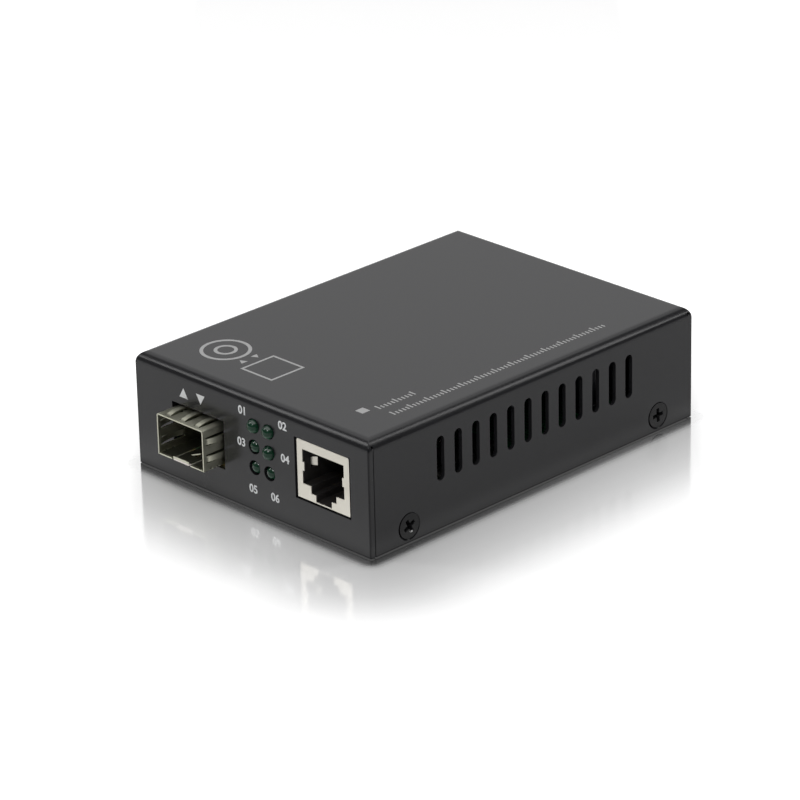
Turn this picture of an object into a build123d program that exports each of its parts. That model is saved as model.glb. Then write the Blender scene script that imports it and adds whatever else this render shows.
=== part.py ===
from build123d import *
import os

# Fibre media converter: a folded steel box with a slot for a plug-in fibre
# module, a network socket, six indicator lamps and a power inlet at the back.
# Millimetres, +Z up, front face towards -Y, origin under the middle of the box.
os.makedirs("parts", exist_ok=True)

# Housing
width = 71.0
depth = 98.0
height = 26.0
sheet = 1.0
bend = 2.5                 # outside radius of the cover's bends
cut_edge = 0.35            # softened edge where a wall's end is cut
cover_lift = 0.2           # the cover's lower edge stays off the table
seam = 0.4                 # gap between a side wall and the end wall that covers it
seam_below_top = 1.5       # from the top face down to the relief hole that ends a seam
corner_relief = 0.7        # diameter of the relief hole
fold_fit = 0.15            # play between the cover and the base plate
fit = 0.1                  # play between pieces that seat in each other

# Side vents
vent_count = 12
vent_pitch = 5.2
vent_width = 2.2
vent_length = 10.0
vent_below_top = 10.0      # from the top face down to the middle of the vents

# Base plate and the screws through the cover
base_bend = 1.5
flange_height = 8.4
screw_inset = 11.0         # from the front and rear faces
screw_height = 3.8
screw_head = 5.6
screw_shank = 3.0
screw_length = 4.2
screw_turns = (28, 4)      # degrees that the front and rear cross recesses are turned
head_rim = 0.1             # straight edge of the head above its cone
head_sink = 0.1            # the head lies this deep under the surface
thread_collar = 4.2        # drawn collar that carries the thread
thread_collar_depth = 1.2
cross_length = 3.2
cross_width = 0.9
cross_depth = 1.3
cross_taper = 12

# Circuit board and what holds it
standoff_height = 5.0
standoff_width = 5.5
standoff_bore = 3.1
standoff_gap = 0.5         # from a standoff to the side screw beside it
spigot_width = 4.0
board_thickness = 1.6
board_side_gap = 0.85      # from the base plate's flanges to the board
board_gap = 0.6            # from the board's front and rear edges to the end walls
board_corner = 1.0
board_hole = 3.2
board_head = 5.5
board_head_height = 1.9
board_head_edge = 0.6
board_shank_length = 5.0

# Places across the front, as shares of the width from the middle
cage_across = -0.226
lamps_across = 0.049
jack_across = 0.3056

# Cage for the plug-in fibre module
cage_width = 14.3
cage_height = 9.4
cage_length = 48.0
cage_sheet = 0.3
cage_reach = 5.2           # how far it stands out of the front face
cage_corner = 0.5
cage_gap = 0.85            # to the edge of the cover's opening
finger_width = 1.3
finger_start = 0.8         # behind the cage's mouth
finger_length = 6.6
finger_rise = 0.6
finger_slit = 0.3
top_finger_pitch = 4.4
top_finger_count = 3
side_finger_pitch = 3.9
side_finger_count = 2
tongue_width = 4.8
tongue_length = 9.0
tongue_slit = 0.5
tongue_lip = 0.9
latch_hole = 2.6
floor_tab_width = 0.7      # tabs of the floor that show in slots of the side walls
floor_tabs = (2.0, 3.9, 16.0, 28.0, 40.0)

# Connector inside the cage
host_width = 11.4
host_height = 6.2
host_length = 9.0
host_mouth_width = 9.6
host_mouth_height = 1.6
host_mouth_depth = 6.5
host_mouth_centre = 3.6
host_edge = 0.8
host_contacts = 10
host_contact_pitch = 0.8
host_contact_width = 0.3
host_contact_thickness = 0.2

# Network socket
jack_width = 15.4
jack_height = 13.2
jack_depth = 18.0
jack_sheet = 0.3
jack_corner = 0.4
jack_recess = 0.2          # its face lies this far behind the front face
jack_gap = 0.5             # to the sides of the cover's opening
jack_gap_low = 0.4
jack_gap_high = 0.2
plug_width = 12.2
plug_height = 7.7
plug_cover = 2.1           # from the top of the plug's space to the top of the socket
step_width = 7.4
step_height = 1.65
notch_width = 4.6
notch_height = 1.45
plug_depth = 14.0
ground_spring_width = 2.0
ground_spring_start = 2.6  # behind the socket's face
ground_spring_length = 1.3
ground_spring_rise = 0.5   # how far the springs reach into the plug's space
ground_lip = 0.5
wire_count = 8
wire_pitch = 1.02
wire_width = 0.4
wire_start = 2.0           # behind the socket's face
wire_run = 8.0
wire_drop = 3.0

# Indicator lamps: two columns and three rows, lowest row first
lamp_pitch_across = 4.5
lamp_pitch_up = 4.75
lamp_low = 2.5             # from the board up to the lowest row
lamp_proud = 1.4           # how far a lamp's tip stands out of the front face
lamp_part_proud = 0.5
lamp_low_proud = 0.25      # the lowest row
lamp_reach = [(lamp_low_proud, lamp_low_proud), (lamp_part_proud, lamp_proud),
              (lamp_proud, lamp_proud)]
lamp_width = 3.0
lamp_length = 5.3
lamp_flange = 3.8
lamp_flange_length = 1.0
lamp_hole = 3.3
holder_depth = 8.0
holder_face = 1.6          # front wall of the holder, which takes the lamp's body
holder_wall = 0.9
holder_channel = 4.0
lead_size = 0.5
lead_spacing = 1.27
lead_step = 1.6            # each row's leads come down this far behind the last

# Power inlet
inlet_width = 9.0
inlet_height = 11.0
inlet_length = 14.0
inlet_axis = 6.5           # above the board
inlet_shoulder = 1.5
inlet_collar = 8.0
inlet_bore = 6.4
inlet_bore_depth = 10.0
inlet_pin = 2.1
inlet_pin_edge = 0.4
inlet_pin_root = 2.0       # length held in the housing
inlet_pin_sink = 1.0       # its tip lies this deep under the rear face

# Chips and other pieces on the board
row_gap = 4.0              # between the rows of pieces
small_gap = 1.0
package_lift = 0.1
package_edge = 0.3
leg_width = 0.3
leg_thickness = 0.15
leg_foot = 0.6
leg_shoulder = 0.3         # from the package's side to where the leg turns down
leg_height = 0.6
main_chip_side = 14.0
main_chip_height = 1.4
main_leg_pitch = 1.0
main_leg_count = 12
power_chip_width = 4.0
power_chip_length = 9.9
power_chip_height = 1.5
power_leg_pitch = 1.27
power_leg_count = 7
network_transformer_length = 15.0
network_transformer_width = 9.5
network_transformer_height = 5.8
crystal_length = 11.0
crystal_width = 4.6
crystal_height = 3.5
rectifier_length = 8.2
rectifier_width = 6.4
rectifier_height = 2.6
capacitor_width = 8.0
capacitor_height = 11.5
capacitor_groove = 1.4
capacitor_roll = 0.4
capacitor_gap = 2.0
capacitor_inset = 6.5      # from the board's edge to the row of capacitors
core_length = 14.0
core_width = 8.0
core_height = 11.0
core_leg = 2.2
core_middle = 3.6
transformer_shift = 5.0    # sideways from the cage's middle line
transformer_base_height = 1.0
transformer_base_rim = 0.5
winding_corner = 0.6
inductor_width = 9.8
inductor_height = 5.0
inductor_corner = 1.4
inductor_drum = 6.6
inductor_gap = 0.4
inductor_gap_depth = 0.8

# Walls and heights that the pieces share
front = -depth / 2
rear = depth / 2
inside_front = front + sheet
inside_rear = rear - sheet
inside_width = width - 2 * sheet
seam_top = height - seam_below_top
floor_top = sheet
board_bottom = floor_top + standoff_height
board_top = board_bottom + board_thickness
base_width = inside_width - 2 * fold_fit
base_depth = depth - 2 * sheet - 2 * fold_fit
board_width = base_width - 2 * sheet - 2 * board_side_gap
board_front = inside_front + board_gap
board_rear = inside_rear - board_gap
screw_places = [front + screw_inset, rear - screw_inset]
sink_radius = screw_head / 2 + head_rim + head_sink + fit

# Places of the cage, the socket, the lamps and the inlet
cage_x = cage_across * width
cage_front = front - cage_reach
cage_back = cage_front + cage_length - cage_sheet
jack_x = jack_across * width
jack_front = front + jack_recess
jack_back = jack_front + jack_depth
plug_ceiling = jack_height - plug_cover
plug_floor = plug_ceiling - plug_height
step_floor = plug_floor - step_height
notch_floor = step_floor - notch_height
lamps_x = lamps_across * width
lamp_columns = [lamps_x - lamp_pitch_across / 2, lamps_x + lamp_pitch_across / 2]
lamp_rows = [board_top + lamp_low + row * lamp_pitch_up for row in range(3)]
lamp_places = [(x, z) for x in lamp_columns for z in lamp_rows]
inlet_x = cage_x
inlet_z = board_top + inlet_axis
inlet_front = inside_rear - fit - inlet_length

# Places of the standoffs: half way between the cage and the board's edge, and
# clear of the side screws and of the socket
standoff_x = (board_width / 2 + cage_width / 2 - cage_x) / 2
standoff_clear = screw_shank / 2 + standoff_gap + standoff_width / 3 ** 0.5
standoff_front = screw_places[0] - standoff_clear
standoff_rear = screw_places[1] + standoff_clear
standoff_middle = jack_back + row_gap + board_head / 2 + small_gap
standoff_places = [(-standoff_x, standoff_front), (standoff_x, standoff_middle),
                   (-standoff_x, standoff_rear), (standoff_x, standoff_rear)]

# Places of the pieces on the board, row by row from the front
window_width = (core_length - 2 * core_leg - core_middle) / 2
transformer_place = (cage_x + transformer_shift, (cage_back + inlet_front) / 2)
capacitor_x = board_width / 2 - capacitor_inset
transformer_edge = transformer_place[0] + core_length / 2 + transformer_base_rim
middle_x = (transformer_edge + capacitor_x - rectifier_length / 2) / 2
network_y = jack_back + row_gap + network_transformer_width / 2
leg_reach = leg_shoulder + leg_foot
main_y = network_y + network_transformer_width / 2 + row_gap + main_chip_side / 2
power_y = main_y + main_chip_side / 2 + leg_reach + small_gap + power_chip_length / 2
inductor_y = power_y + power_chip_length / 2 + small_gap + inductor_width / 2
crystal_x = (cage_x + cage_width / 2 + middle_x - network_transformer_length / 2) / 2
crystal_y = main_y - main_chip_side / 2 - leg_reach - small_gap - crystal_length / 2
rectifier_y = standoff_middle + board_head / 2 + small_gap + rectifier_width / 2
capacitor_y = standoff_rear - board_head / 2 - capacitor_gap - capacitor_width / 2

front_face = Plane(origin=(0, front, 0), x_dir=(1, 0, 0), z_dir=(0, -1, 0))
rear_face = Plane(origin=(0, rear, 0), x_dir=(-1, 0, 0), z_dir=(0, 1, 0))


# A plane that faces out of the left (-1) or right (1) side
def side_plane(side, x, y, z):
    return Plane(origin=(side * x, y, z), x_dir=(0, side, 0), z_dir=(side, 0, 0))


# The four planes of the side screws at a distance x from the middle
def screw_planes(x):
    return [side_plane(side, x, y, screw_height) for side in (-1, 1) for y in screw_places]


# Cover: top, both sides and both ends folded from one sheet
with BuildPart() as cover_hollow:
    with BuildSketch():
        Rectangle(inside_width, depth - 2 * sheet)
    extrude(amount=height - sheet)
    fillet(cover_hollow.faces().sort_by(Axis.Z)[-1].edges(), bend - sheet)

with BuildPart() as cover:
    with BuildSketch(Plane.XY.offset(cover_lift)):
        Rectangle(width, depth)
    extrude(amount=height - cover_lift)
    fillet(cover.faces().sort_by(Axis.Z)[-1].edges(), bend)
    fillet(cover.edges().filter_by(Axis.Z), cut_edge)
    add(cover_hollow.part, mode=Mode.SUBTRACT)
    # Opening round the module cage
    with BuildSketch(front_face):
        with Locations((cage_x, board_top + cage_height / 2)):
            Rectangle(cage_width + 2 * cage_gap, cage_height + 2 * cage_gap)
    extrude(amount=-2 * sheet, mode=Mode.SUBTRACT)
    # Opening round the network socket
    with BuildSketch(front_face):
        with Locations((jack_x, board_top - jack_gap_low)):
            Rectangle(jack_width + 2 * jack_gap, jack_height + jack_gap_low + jack_gap_high,
                      align=(Align.CENTER, Align.MIN))
    extrude(amount=-2 * sheet, mode=Mode.SUBTRACT)
    # Lamp holes
    with BuildSketch(front_face):
        with Locations(lamp_places):
            Circle(lamp_hole / 2)
    extrude(amount=-2 * sheet, mode=Mode.SUBTRACT)
    # Hole for the power inlet
    with BuildSketch(rear_face):
        with Locations((-inlet_x, inlet_z)):
            Circle(inlet_collar / 2 + 2 * fit)
    extrude(amount=-2 * sheet, mode=Mode.SUBTRACT)
    # Vents through both sides
    with BuildSketch(Plane.YZ):
        with Locations((0, height - vent_below_top)):
            with GridLocations(vent_pitch, 1, vent_count, 1):
                SlotOverall(vent_length, vent_width, rotation=90)
    extrude(amount=width, both=True, mode=Mode.SUBTRACT)
    # Seams where the end walls cover the ends of the side walls
    for side in (-1, 1):
        with BuildSketch(side_plane(side, width / 2, 0, 0)):
            for end in (-1, 1):
                with Locations((end * (depth / 2 - sheet - seam / 2), 0)):
                    Rectangle(seam, seam_top, align=(Align.CENTER, Align.MIN))
                with Locations((end * (depth / 2 - sheet - seam / 2), seam_top)):
                    Circle(corner_relief / 2)
        extrude(amount=-bend, mode=Mode.SUBTRACT)
    # Countersunk holes for the side screws
    with Locations(*screw_planes(width / 2)):
        CounterSinkHole(screw_shank / 2 + fit, sink_radius, depth=2 * sheet,
                        counter_sink_angle=90)
cover.part.label = "cover"
export_step(cover.part, "parts/cover.step")

# Base plate: a channel whose flanges stand inside the cover's side walls
with BuildPart() as base_plate:
    with BuildSketch(Plane.XZ):
        with BuildLine():
            FilletPolyline((-base_width / 2, flange_height), (-base_width / 2, 0),
                           (base_width / 2, 0), (base_width / 2, flange_height),
                           radius=base_bend)
            offset(amount=sheet, side=Side.LEFT)
        make_face()
    extrude(amount=base_depth / 2, both=True)
    # Thread collars drawn inwards from the flanges
    for place in screw_planes(base_width / 2 - sheet):
        with BuildSketch(place):
            Circle(thread_collar / 2)
        extrude(amount=-thread_collar_depth)
    with Locations(*screw_planes(base_width / 2)):
        CounterSinkHole(screw_shank / 2 + fit, sink_radius - sheet - fold_fit,
                        depth=sheet + 2 * thread_collar_depth, counter_sink_angle=90)
    # Holes that the standoffs are pressed into
    with Locations(*standoff_places):
        Hole(spigot_width / 2 + fit, depth=2 * sheet)
base_plate.part.label = "base_plate"
export_step(base_plate.part, "parts/base_plate.step")

# Countersunk side screws with a cross recess
cone = (screw_head - screw_shank) / 2
with BuildPart() as side_screws:
    for side in (-1, 1):
        for y, turn in zip(screw_places, screw_turns):
            place = side_plane(side, width / 2 - head_sink, y, screw_height)
            section = Plane(origin=place.origin, x_dir=(0, 1, 0), z_dir=(0, 0, side))
            with BuildSketch(section):
                with BuildLine():
                    Polyline((0, 0), (screw_head / 2, 0), (screw_head / 2, head_rim),
                             (screw_shank / 2, head_rim + cone), (screw_shank / 2, screw_length),
                             (0, screw_length), close=True)
                make_face()
            revolve(axis=Axis(place.origin, place.z_dir))
            with BuildSketch(place):
                Rectangle(cross_length, cross_width, rotation=turn)
                Rectangle(cross_width, cross_length, rotation=turn)
            extrude(amount=-cross_depth, taper=cross_taper, mode=Mode.SUBTRACT)
side_screws.part.label = "side_screws"
export_step(side_screws.part, "parts/side_screws.step")

# Standoffs, pressed into the base plate
with BuildPart() as board_standoffs:
    with BuildSketch(Plane.XY.offset(floor_top)):
        with Locations(*standoff_places):
            RegularPolygon(standoff_width / 2, 6, major_radius=False, rotation=30)
    extrude(amount=standoff_height)
    with BuildSketch(Plane.XY.offset(floor_top)):
        with Locations(*standoff_places):
            Circle(spigot_width / 2)
    extrude(amount=-sheet + fit)
    with BuildSketch(Plane.XY.offset(floor_top + standoff_height)):
        with Locations(*standoff_places):
            Circle(standoff_bore / 2)
    extrude(amount=-standoff_height, mode=Mode.SUBTRACT)
board_standoffs.part.label = "board_standoffs"
export_step(board_standoffs.part, "parts/board_standoffs.step")

# Circuit board
with BuildPart() as circuit_board:
    with BuildSketch(Plane.XY.offset(board_bottom)):
        with Locations((0, (board_front + board_rear) / 2)):
            RectangleRounded(board_width, board_rear - board_front, board_corner)
        with Locations(*standoff_places):
            Circle(board_hole / 2, mode=Mode.SUBTRACT)
    extrude(amount=board_thickness)
circuit_board.part.label = "circuit_board"
export_step(circuit_board.part, "parts/circuit_board.step")

# Pan-head screws that hold the board
with BuildPart() as board_screws:
    with BuildSketch(Plane.XY.offset(board_top)):
        with Locations(*standoff_places):
            Circle(board_head / 2)
    extrude(amount=board_head_height)
    chamfer(board_screws.faces().group_by(Axis.Z)[-1].edges(), board_head_edge)
    with BuildSketch(Plane.XY.offset(board_top)):
        with Locations(*standoff_places):
            Circle(screw_shank / 2)
    extrude(amount=-board_shank_length)
    with BuildSketch(Plane.XY.offset(board_top + board_head_height)):
        with Locations(*standoff_places):
            Rectangle(cross_length, cross_width)
            Rectangle(cross_width, cross_length)
    extrude(amount=-cross_depth, mode=Mode.SUBTRACT)
board_screws.part.label = "board_screws"
export_step(board_screws.part, "parts/board_screws.step")

# Module cage: one thin sheet folded into a tunnel, with spring fingers lanced
# out of its mouth so that they press on the edge of the cover's opening
cage_mouth = Plane(origin=(cage_x, cage_front, board_top), x_dir=(1, 0, 0), z_dir=(0, -1, 0))
cage_inside = cage_width - 2 * cage_sheet
cage_middle = cage_height / 2
top_fingers = [(i - (top_finger_count - 1) / 2) * top_finger_pitch for i in range(top_finger_count)]
side_fingers = [(i - (side_finger_count - 1) / 2) * side_finger_pitch
                for i in range(side_finger_count)]


# Each wall as a plane on its outer face at the mouth: x runs back along the
# cage and y points outwards
def wall_section(wall, across):
    if wall == "top":
        return Plane(origin=(cage_x + across, cage_front, board_top + cage_height),
                     x_dir=(0, 1, 0), z_dir=(1, 0, 0))
    side = 1 if wall == "right" else -1
    return Plane(origin=(cage_x + side * cage_width / 2, cage_front, board_top + cage_middle + across),
                 x_dir=(0, 1, 0), z_dir=(0, 0, -side))


fingers = [("top", across) for across in top_fingers]
fingers += [(wall, across) for wall in ("left", "right") for across in side_fingers]
with BuildPart() as sfp_cage:
    with BuildSketch(cage_mouth):
        with BuildLine():
            FilletPolyline((-cage_width / 2, 0), (-cage_width / 2, cage_height),
                           (cage_width / 2, cage_height), (cage_width / 2, 0),
                           radius=cage_corner)
            offset(amount=cage_sheet, side=Side.RIGHT)
        make_face()
    extrude(amount=-cage_length)
    # Rear wall
    with BuildSketch(cage_mouth.offset(-cage_length)):
        with Locations((0, cage_middle)):
            Rectangle(cage_inside, cage_height - 2 * cage_sheet)
    extrude(amount=cage_sheet)
    # Slots for the floor's tabs
    for y in floor_tabs:
        with BuildSketch(Plane.XY.offset(board_top)):
            with Locations((cage_x, cage_front + y)):
                Rectangle(2 * cage_width, floor_tab_width + fit)
        extrude(amount=cage_sheet + fit, mode=Mode.SUBTRACT)
    # Slits and bowed fingers
    for wall, across in fingers:
        with BuildSketch(wall_section(wall, across)):
            with Locations((finger_start, 0)):
                Rectangle(finger_length, 2 * cage_sheet, align=(Align.MIN, Align.CENTER))
        extrude(amount=finger_width / 2 + finger_slit, both=True, mode=Mode.SUBTRACT)
        finger_end = finger_start + finger_length
        with BuildSketch(wall_section(wall, across)):
            with BuildLine():
                outer = ThreePointArc((finger_start, 0), (finger_start + finger_length / 2, finger_rise),
                                      (finger_end, 0))
                Line(outer @ 1, (finger_end, -cage_sheet))
                inner = ThreePointArc((finger_end, -cage_sheet),
                                      (finger_start + finger_length / 2, finger_rise - cage_sheet),
                                      (finger_start, -cage_sheet))
                Line(inner @ 1, outer @ 0)
            make_face()
        extrude(amount=finger_width / 2, both=True)
sfp_cage.part.label = "sfp_cage"
export_step(sfp_cage.part, "parts/sfp_cage.step")

# Floor of the cage, with the sprung tongue that holds the module's latch and
# tabs that end flush in the slots of the side walls
floor_width = cage_inside - 2 * fit
with BuildPart() as sfp_cage_floor:
    with BuildSketch(Plane.XY.offset(board_top)):
        with Locations((cage_x, cage_front)):
            Rectangle(floor_width, cage_length - cage_sheet - fit, align=(Align.CENTER, Align.MIN))
        for y in floor_tabs:
            with Locations((cage_x, cage_front + y)):
                Rectangle(cage_width, floor_tab_width)
        with Locations((cage_x - tongue_width / 2 - tongue_slit / 2, cage_front),
                       (cage_x + tongue_width / 2 + tongue_slit / 2, cage_front)):
            Rectangle(tongue_slit, tongue_length, align=(Align.CENTER, Align.MIN), mode=Mode.SUBTRACT)
        with Locations((cage_x, cage_front + tongue_length / 2)):
            RegularPolygon(latch_hole / 2, 3, rotation=90, mode=Mode.SUBTRACT)
    extrude(amount=cage_sheet)
    with BuildSketch(Plane.XY.offset(board_top + cage_sheet)):
        with Locations((cage_x, cage_front)):
            Rectangle(tongue_width, cage_sheet, align=(Align.CENTER, Align.MIN))
    extrude(amount=tongue_lip - cage_sheet)
sfp_cage_floor.part.label = "sfp_cage_floor"
export_step(sfp_cage_floor.part, "parts/sfp_cage_floor.step")

# Connector inside the cage that takes the module's card edge
host_front = cage_back - fit - host_length
host_bottom = board_top + cage_sheet
with BuildPart() as sfp_connector:
    with BuildSketch(Plane.XY.offset(host_bottom)):
        with Locations((cage_x, host_front)):
            Rectangle(host_width, host_length, align=(Align.CENTER, Align.MIN))
    extrude(amount=host_height)
    chamfer(sfp_connector.faces().sort_by(Axis.Y)[0].edges().sort_by(Axis.Z)[-1], host_edge)
    with BuildSketch(Plane(origin=(cage_x, host_front, host_bottom + host_mouth_centre),
                           x_dir=(1, 0, 0), z_dir=(0, -1, 0))):
        Rectangle(host_mouth_width, host_mouth_height)
    extrude(amount=-host_mouth_depth, mode=Mode.SUBTRACT)
sfp_connector.part.label = "sfp_connector"
export_step(sfp_connector.part, "parts/sfp_connector.step")

# Two rows of contact blades on the walls of the connector's mouth
host_contact_length = host_mouth_depth - 2 * fit
with BuildPart() as sfp_contacts:
    for face in (-1, 1):
        blade_height = host_bottom + host_mouth_centre + face * (host_mouth_height / 2)
        with BuildSketch(Plane.XY.offset(blade_height)):
            with Locations((cage_x, host_front + host_mouth_depth - host_contact_length / 2)):
                with GridLocations(host_contact_pitch, 1, host_contacts, 1):
                    Rectangle(host_contact_width, host_contact_length)
        extrude(amount=-face * host_contact_thickness)
sfp_contacts.part.label = "sfp_contacts"
export_step(sfp_contacts.part, "parts/sfp_contacts.step")


# The socket's opening: room for the plug, a step on each side and a notch for
# the plug's latch, drawn up from the socket's underside
def plug_outline(grow):
    with BuildSketch() as outline:
        with Locations((0, notch_floor)):
            Rectangle(notch_width, plug_floor - notch_floor, align=(Align.CENTER, Align.MIN))
        with Locations((0, step_floor)):
            Rectangle(step_width, plug_floor - step_floor, align=(Align.CENTER, Align.MIN))
        with Locations((0, plug_floor)):
            Rectangle(plug_width, plug_ceiling - plug_floor, align=(Align.CENTER, Align.MIN))
        if grow:
            offset(amount=grow, kind=Kind.INTERSECTION)
    return outline.sketch


# Socket shield: front, top, sides and back bent from one sheet, with a lip and
# a spring on each side that touch the plug's own shield
jack_face = Plane(origin=(jack_x, jack_front, board_top), x_dir=(1, 0, 0), z_dir=(0, -1, 0))
jack_inside = jack_width - 2 * jack_sheet
spring_end = plug_width / 2 - ground_spring_rise
spring_height = plug_floor + plug_height / 2
with BuildPart() as rj45_shield:
    with BuildSketch(jack_face):
        Rectangle(jack_width, jack_height, align=(Align.CENTER, Align.MIN))
    extrude(amount=-jack_depth)
    fillet(rj45_shield.edges().filter_by(Axis.Y).group_by(Axis.Z)[-1], jack_corner)
    with BuildSketch(jack_face.offset(-jack_sheet)):
        Rectangle(jack_inside, jack_height - jack_sheet, align=(Align.CENTER, Align.MIN))
    extrude(amount=-(jack_depth - 2 * jack_sheet), mode=Mode.SUBTRACT)
    with BuildSketch(jack_face):
        add(plug_outline(0))
        for side in (-1, 1):
            with Locations((side * plug_width / 2, spring_height)):
                Rectangle(2 * ground_lip, ground_spring_width, mode=Mode.SUBTRACT)
    extrude(amount=-jack_sheet, mode=Mode.SUBTRACT)
    for side in (-1, 1):
        with BuildSketch(Plane(origin=(jack_x, jack_front, board_top + spring_height),
                               x_dir=(side, 0, 0), z_dir=(0, 0, -side))):
            with BuildLine():
                Polyline((jack_inside / 2, -ground_spring_start),
                         (spring_end, -ground_spring_start - ground_spring_length),
                         (spring_end + jack_sheet, -ground_spring_start - ground_spring_length),
                         (jack_inside / 2, -ground_spring_start - jack_sheet), close=True)
            make_face()
        extrude(amount=ground_spring_width / 2, both=True)
rj45_shield.part.label = "rj45_shield"
export_step(rj45_shield.part, "parts/rj45_shield.step")

# Socket housing: moulded block with the plug's cavity and a window for each spring
housing_face = jack_face.offset(-jack_sheet - fit)
housing_depth = jack_depth - 2 * jack_sheet - 2 * fit
with BuildPart() as rj45_housing:
    with BuildSketch(housing_face):
        Rectangle(jack_inside - 2 * fit, jack_height - jack_sheet - fit,
                  align=(Align.CENTER, Align.MIN))
    extrude(amount=-housing_depth)
    with BuildSketch(housing_face):
        add(plug_outline(fit))
    extrude(amount=-(plug_depth - jack_sheet - fit), mode=Mode.SUBTRACT)
    with BuildSketch(jack_face.offset(-ground_spring_start + fit)):
        with Locations((0, spring_height)):
            Rectangle(jack_width, ground_spring_width + 2 * fit)
    extrude(amount=-(ground_spring_length + 2 * fit), mode=Mode.SUBTRACT)
rj45_housing.part.label = "rj45_housing"
export_step(rj45_housing.part, "parts/rj45_housing.step")

# Eight sprung wires that slope down and back from the cavity's ceiling
wire_front = jack_front + wire_start
wire_back = jack_front + plug_depth - fit
wire_top = board_top + plug_ceiling
wire_low = wire_top - wire_drop
with BuildPart() as rj45_contacts:
    for i in range(wire_count):
        across = (i - (wire_count - 1) / 2) * wire_pitch
        with BuildSketch(Plane.YZ.offset(jack_x + across)):
            with BuildLine():
                Polyline((wire_front, wire_top), (wire_front + wire_run, wire_low),
                         (wire_back, wire_low), (wire_back, wire_low + wire_width),
                         (wire_front + wire_run, wire_low + wire_width),
                         (wire_front + 2 * wire_width, wire_top), close=True)
            make_face()
        extrude(amount=wire_width / 2, both=True)
rj45_contacts.part.label = "rj45_contacts"
export_step(rj45_contacts.part, "parts/rj45_contacts.step")

# Lamp holder: a block with one stepped channel for each lamp
holder_left = lamp_columns[0] - holder_channel / 2 - holder_wall
holder_right = lamp_columns[-1] + holder_channel / 2 + holder_wall
holder_top = lamp_rows[-1] + holder_channel / 2 + holder_wall
holder_front = inside_front + fit
with BuildPart() as lamp_holder:
    with BuildSketch(Plane.XY.offset(board_top)):
        with Locations((holder_left, holder_front)):
            Rectangle(holder_right - holder_left, holder_depth, align=(Align.MIN, Align.MIN))
    extrude(amount=holder_top - board_top)
    with BuildSketch(front_face.offset(-sheet - fit)):
        with Locations(lamp_places):
            Circle(lamp_width / 2 + fit)
    extrude(amount=-holder_depth, mode=Mode.SUBTRACT)
    with BuildSketch(front_face.offset(-sheet - fit - holder_face)):
        with Locations(lamp_places):
            Circle(holder_channel / 2)
    extrude(amount=-holder_depth, mode=Mode.SUBTRACT)
lamp_holder.part.label = "lamp_holder"
export_step(lamp_holder.part, "parts/lamp_holder.step")

# Indicator lamps: a domed body with a flange at its root
dome = lamp_width / 2
lamp_number = 0
for row, z in enumerate(lamp_rows):
    for column, x in enumerate(lamp_columns):
        lamp_number += 1
        tip = front - lamp_reach[row][column]
        with BuildPart() as lamp:
            with BuildSketch(Plane(origin=(x, tip, z), x_dir=(0, 1, 0), z_dir=(1, 0, 0))):
                with BuildLine():
                    RadiusArc((0, 0), (dome, dome), dome)
                    Polyline((dome, dome), (lamp_length - lamp_flange_length, dome),
                             (lamp_length - lamp_flange_length, lamp_flange / 2),
                             (lamp_length, lamp_flange / 2), (lamp_length, 0), (0, 0))
                make_face()
            revolve(axis=Axis((x, tip, z), (0, 1, 0)))
        lamp.part.label = f"indicator_lamp_{lamp_number}"
        export_step(lamp.part, f"parts/indicator_lamp_{lamp_number}.step")

# Two leads from each lamp, bent down to the board behind the holder
with BuildPart() as lamp_leads:
    for row, z in enumerate(lamp_rows):
        for column, x in enumerate(lamp_columns):
            root = front - lamp_reach[row][column] + lamp_length
            bend_back = holder_front + holder_depth + lead_size + row * lead_step
            for side in (-1, 1):
                with BuildSketch(Plane.YZ.offset(x + side * lead_spacing)):
                    with BuildLine():
                        Polyline((root, z), (bend_back, z), (bend_back, board_top))
                        offset(amount=lead_size, side=Side.LEFT)
                    make_face()
                extrude(amount=lead_size / 2, both=True)
lamp_leads.part.label = "lamp_leads"
export_step(lamp_leads.part, "parts/lamp_leads.step")

# Power inlet: housing with a round collar that fills the hole in the rear wall
inlet_face = Plane(origin=(inlet_x, inside_rear - fit, board_top), x_dir=(-1, 0, 0), z_dir=(0, 1, 0))
with BuildPart() as inlet_housing:
    with BuildSketch(inlet_face):
        Rectangle(inlet_width, inlet_height, align=(Align.CENTER, Align.MIN))
    extrude(amount=-inlet_length)
    fillet(inlet_housing.edges().filter_by(Axis.Y).group_by(Axis.Z)[-1], inlet_shoulder)
    with BuildSketch(inlet_face):
        with Locations((0, inlet_axis)):
            Circle(inlet_collar / 2)
    extrude(amount=sheet + fit)
    with BuildSketch(rear_face):
        with Locations((-inlet_x, inlet_z)):
            Circle(inlet_bore / 2)
    extrude(amount=-inlet_bore_depth, mode=Mode.SUBTRACT)
    with BuildSketch(rear_face.offset(-inlet_bore_depth)):
        with Locations((-inlet_x, inlet_z)):
            Circle(inlet_pin / 2 + fit)
    extrude(amount=-inlet_pin_root, mode=Mode.SUBTRACT)
inlet_housing.part.label = "inlet_housing"
export_step(inlet_housing.part, "parts/inlet_housing.step")

# Centre pin of the power inlet, with a rounded tip
with BuildPart() as inlet_pin_piece:
    with BuildSketch(rear_face.offset(-inlet_bore_depth - inlet_pin_root + fit)):
        with Locations((-inlet_x, inlet_z)):
            Circle(inlet_pin / 2)
    extrude(amount=inlet_bore_depth + inlet_pin_root - fit - inlet_pin_sink)
    chamfer(inlet_pin_piece.faces().sort_by(Axis.Y)[-1].edges(), inlet_pin_edge)
inlet_pin_piece.part.label = "inlet_pin"
export_step(inlet_pin_piece.part, "parts/inlet_pin.step")


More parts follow.
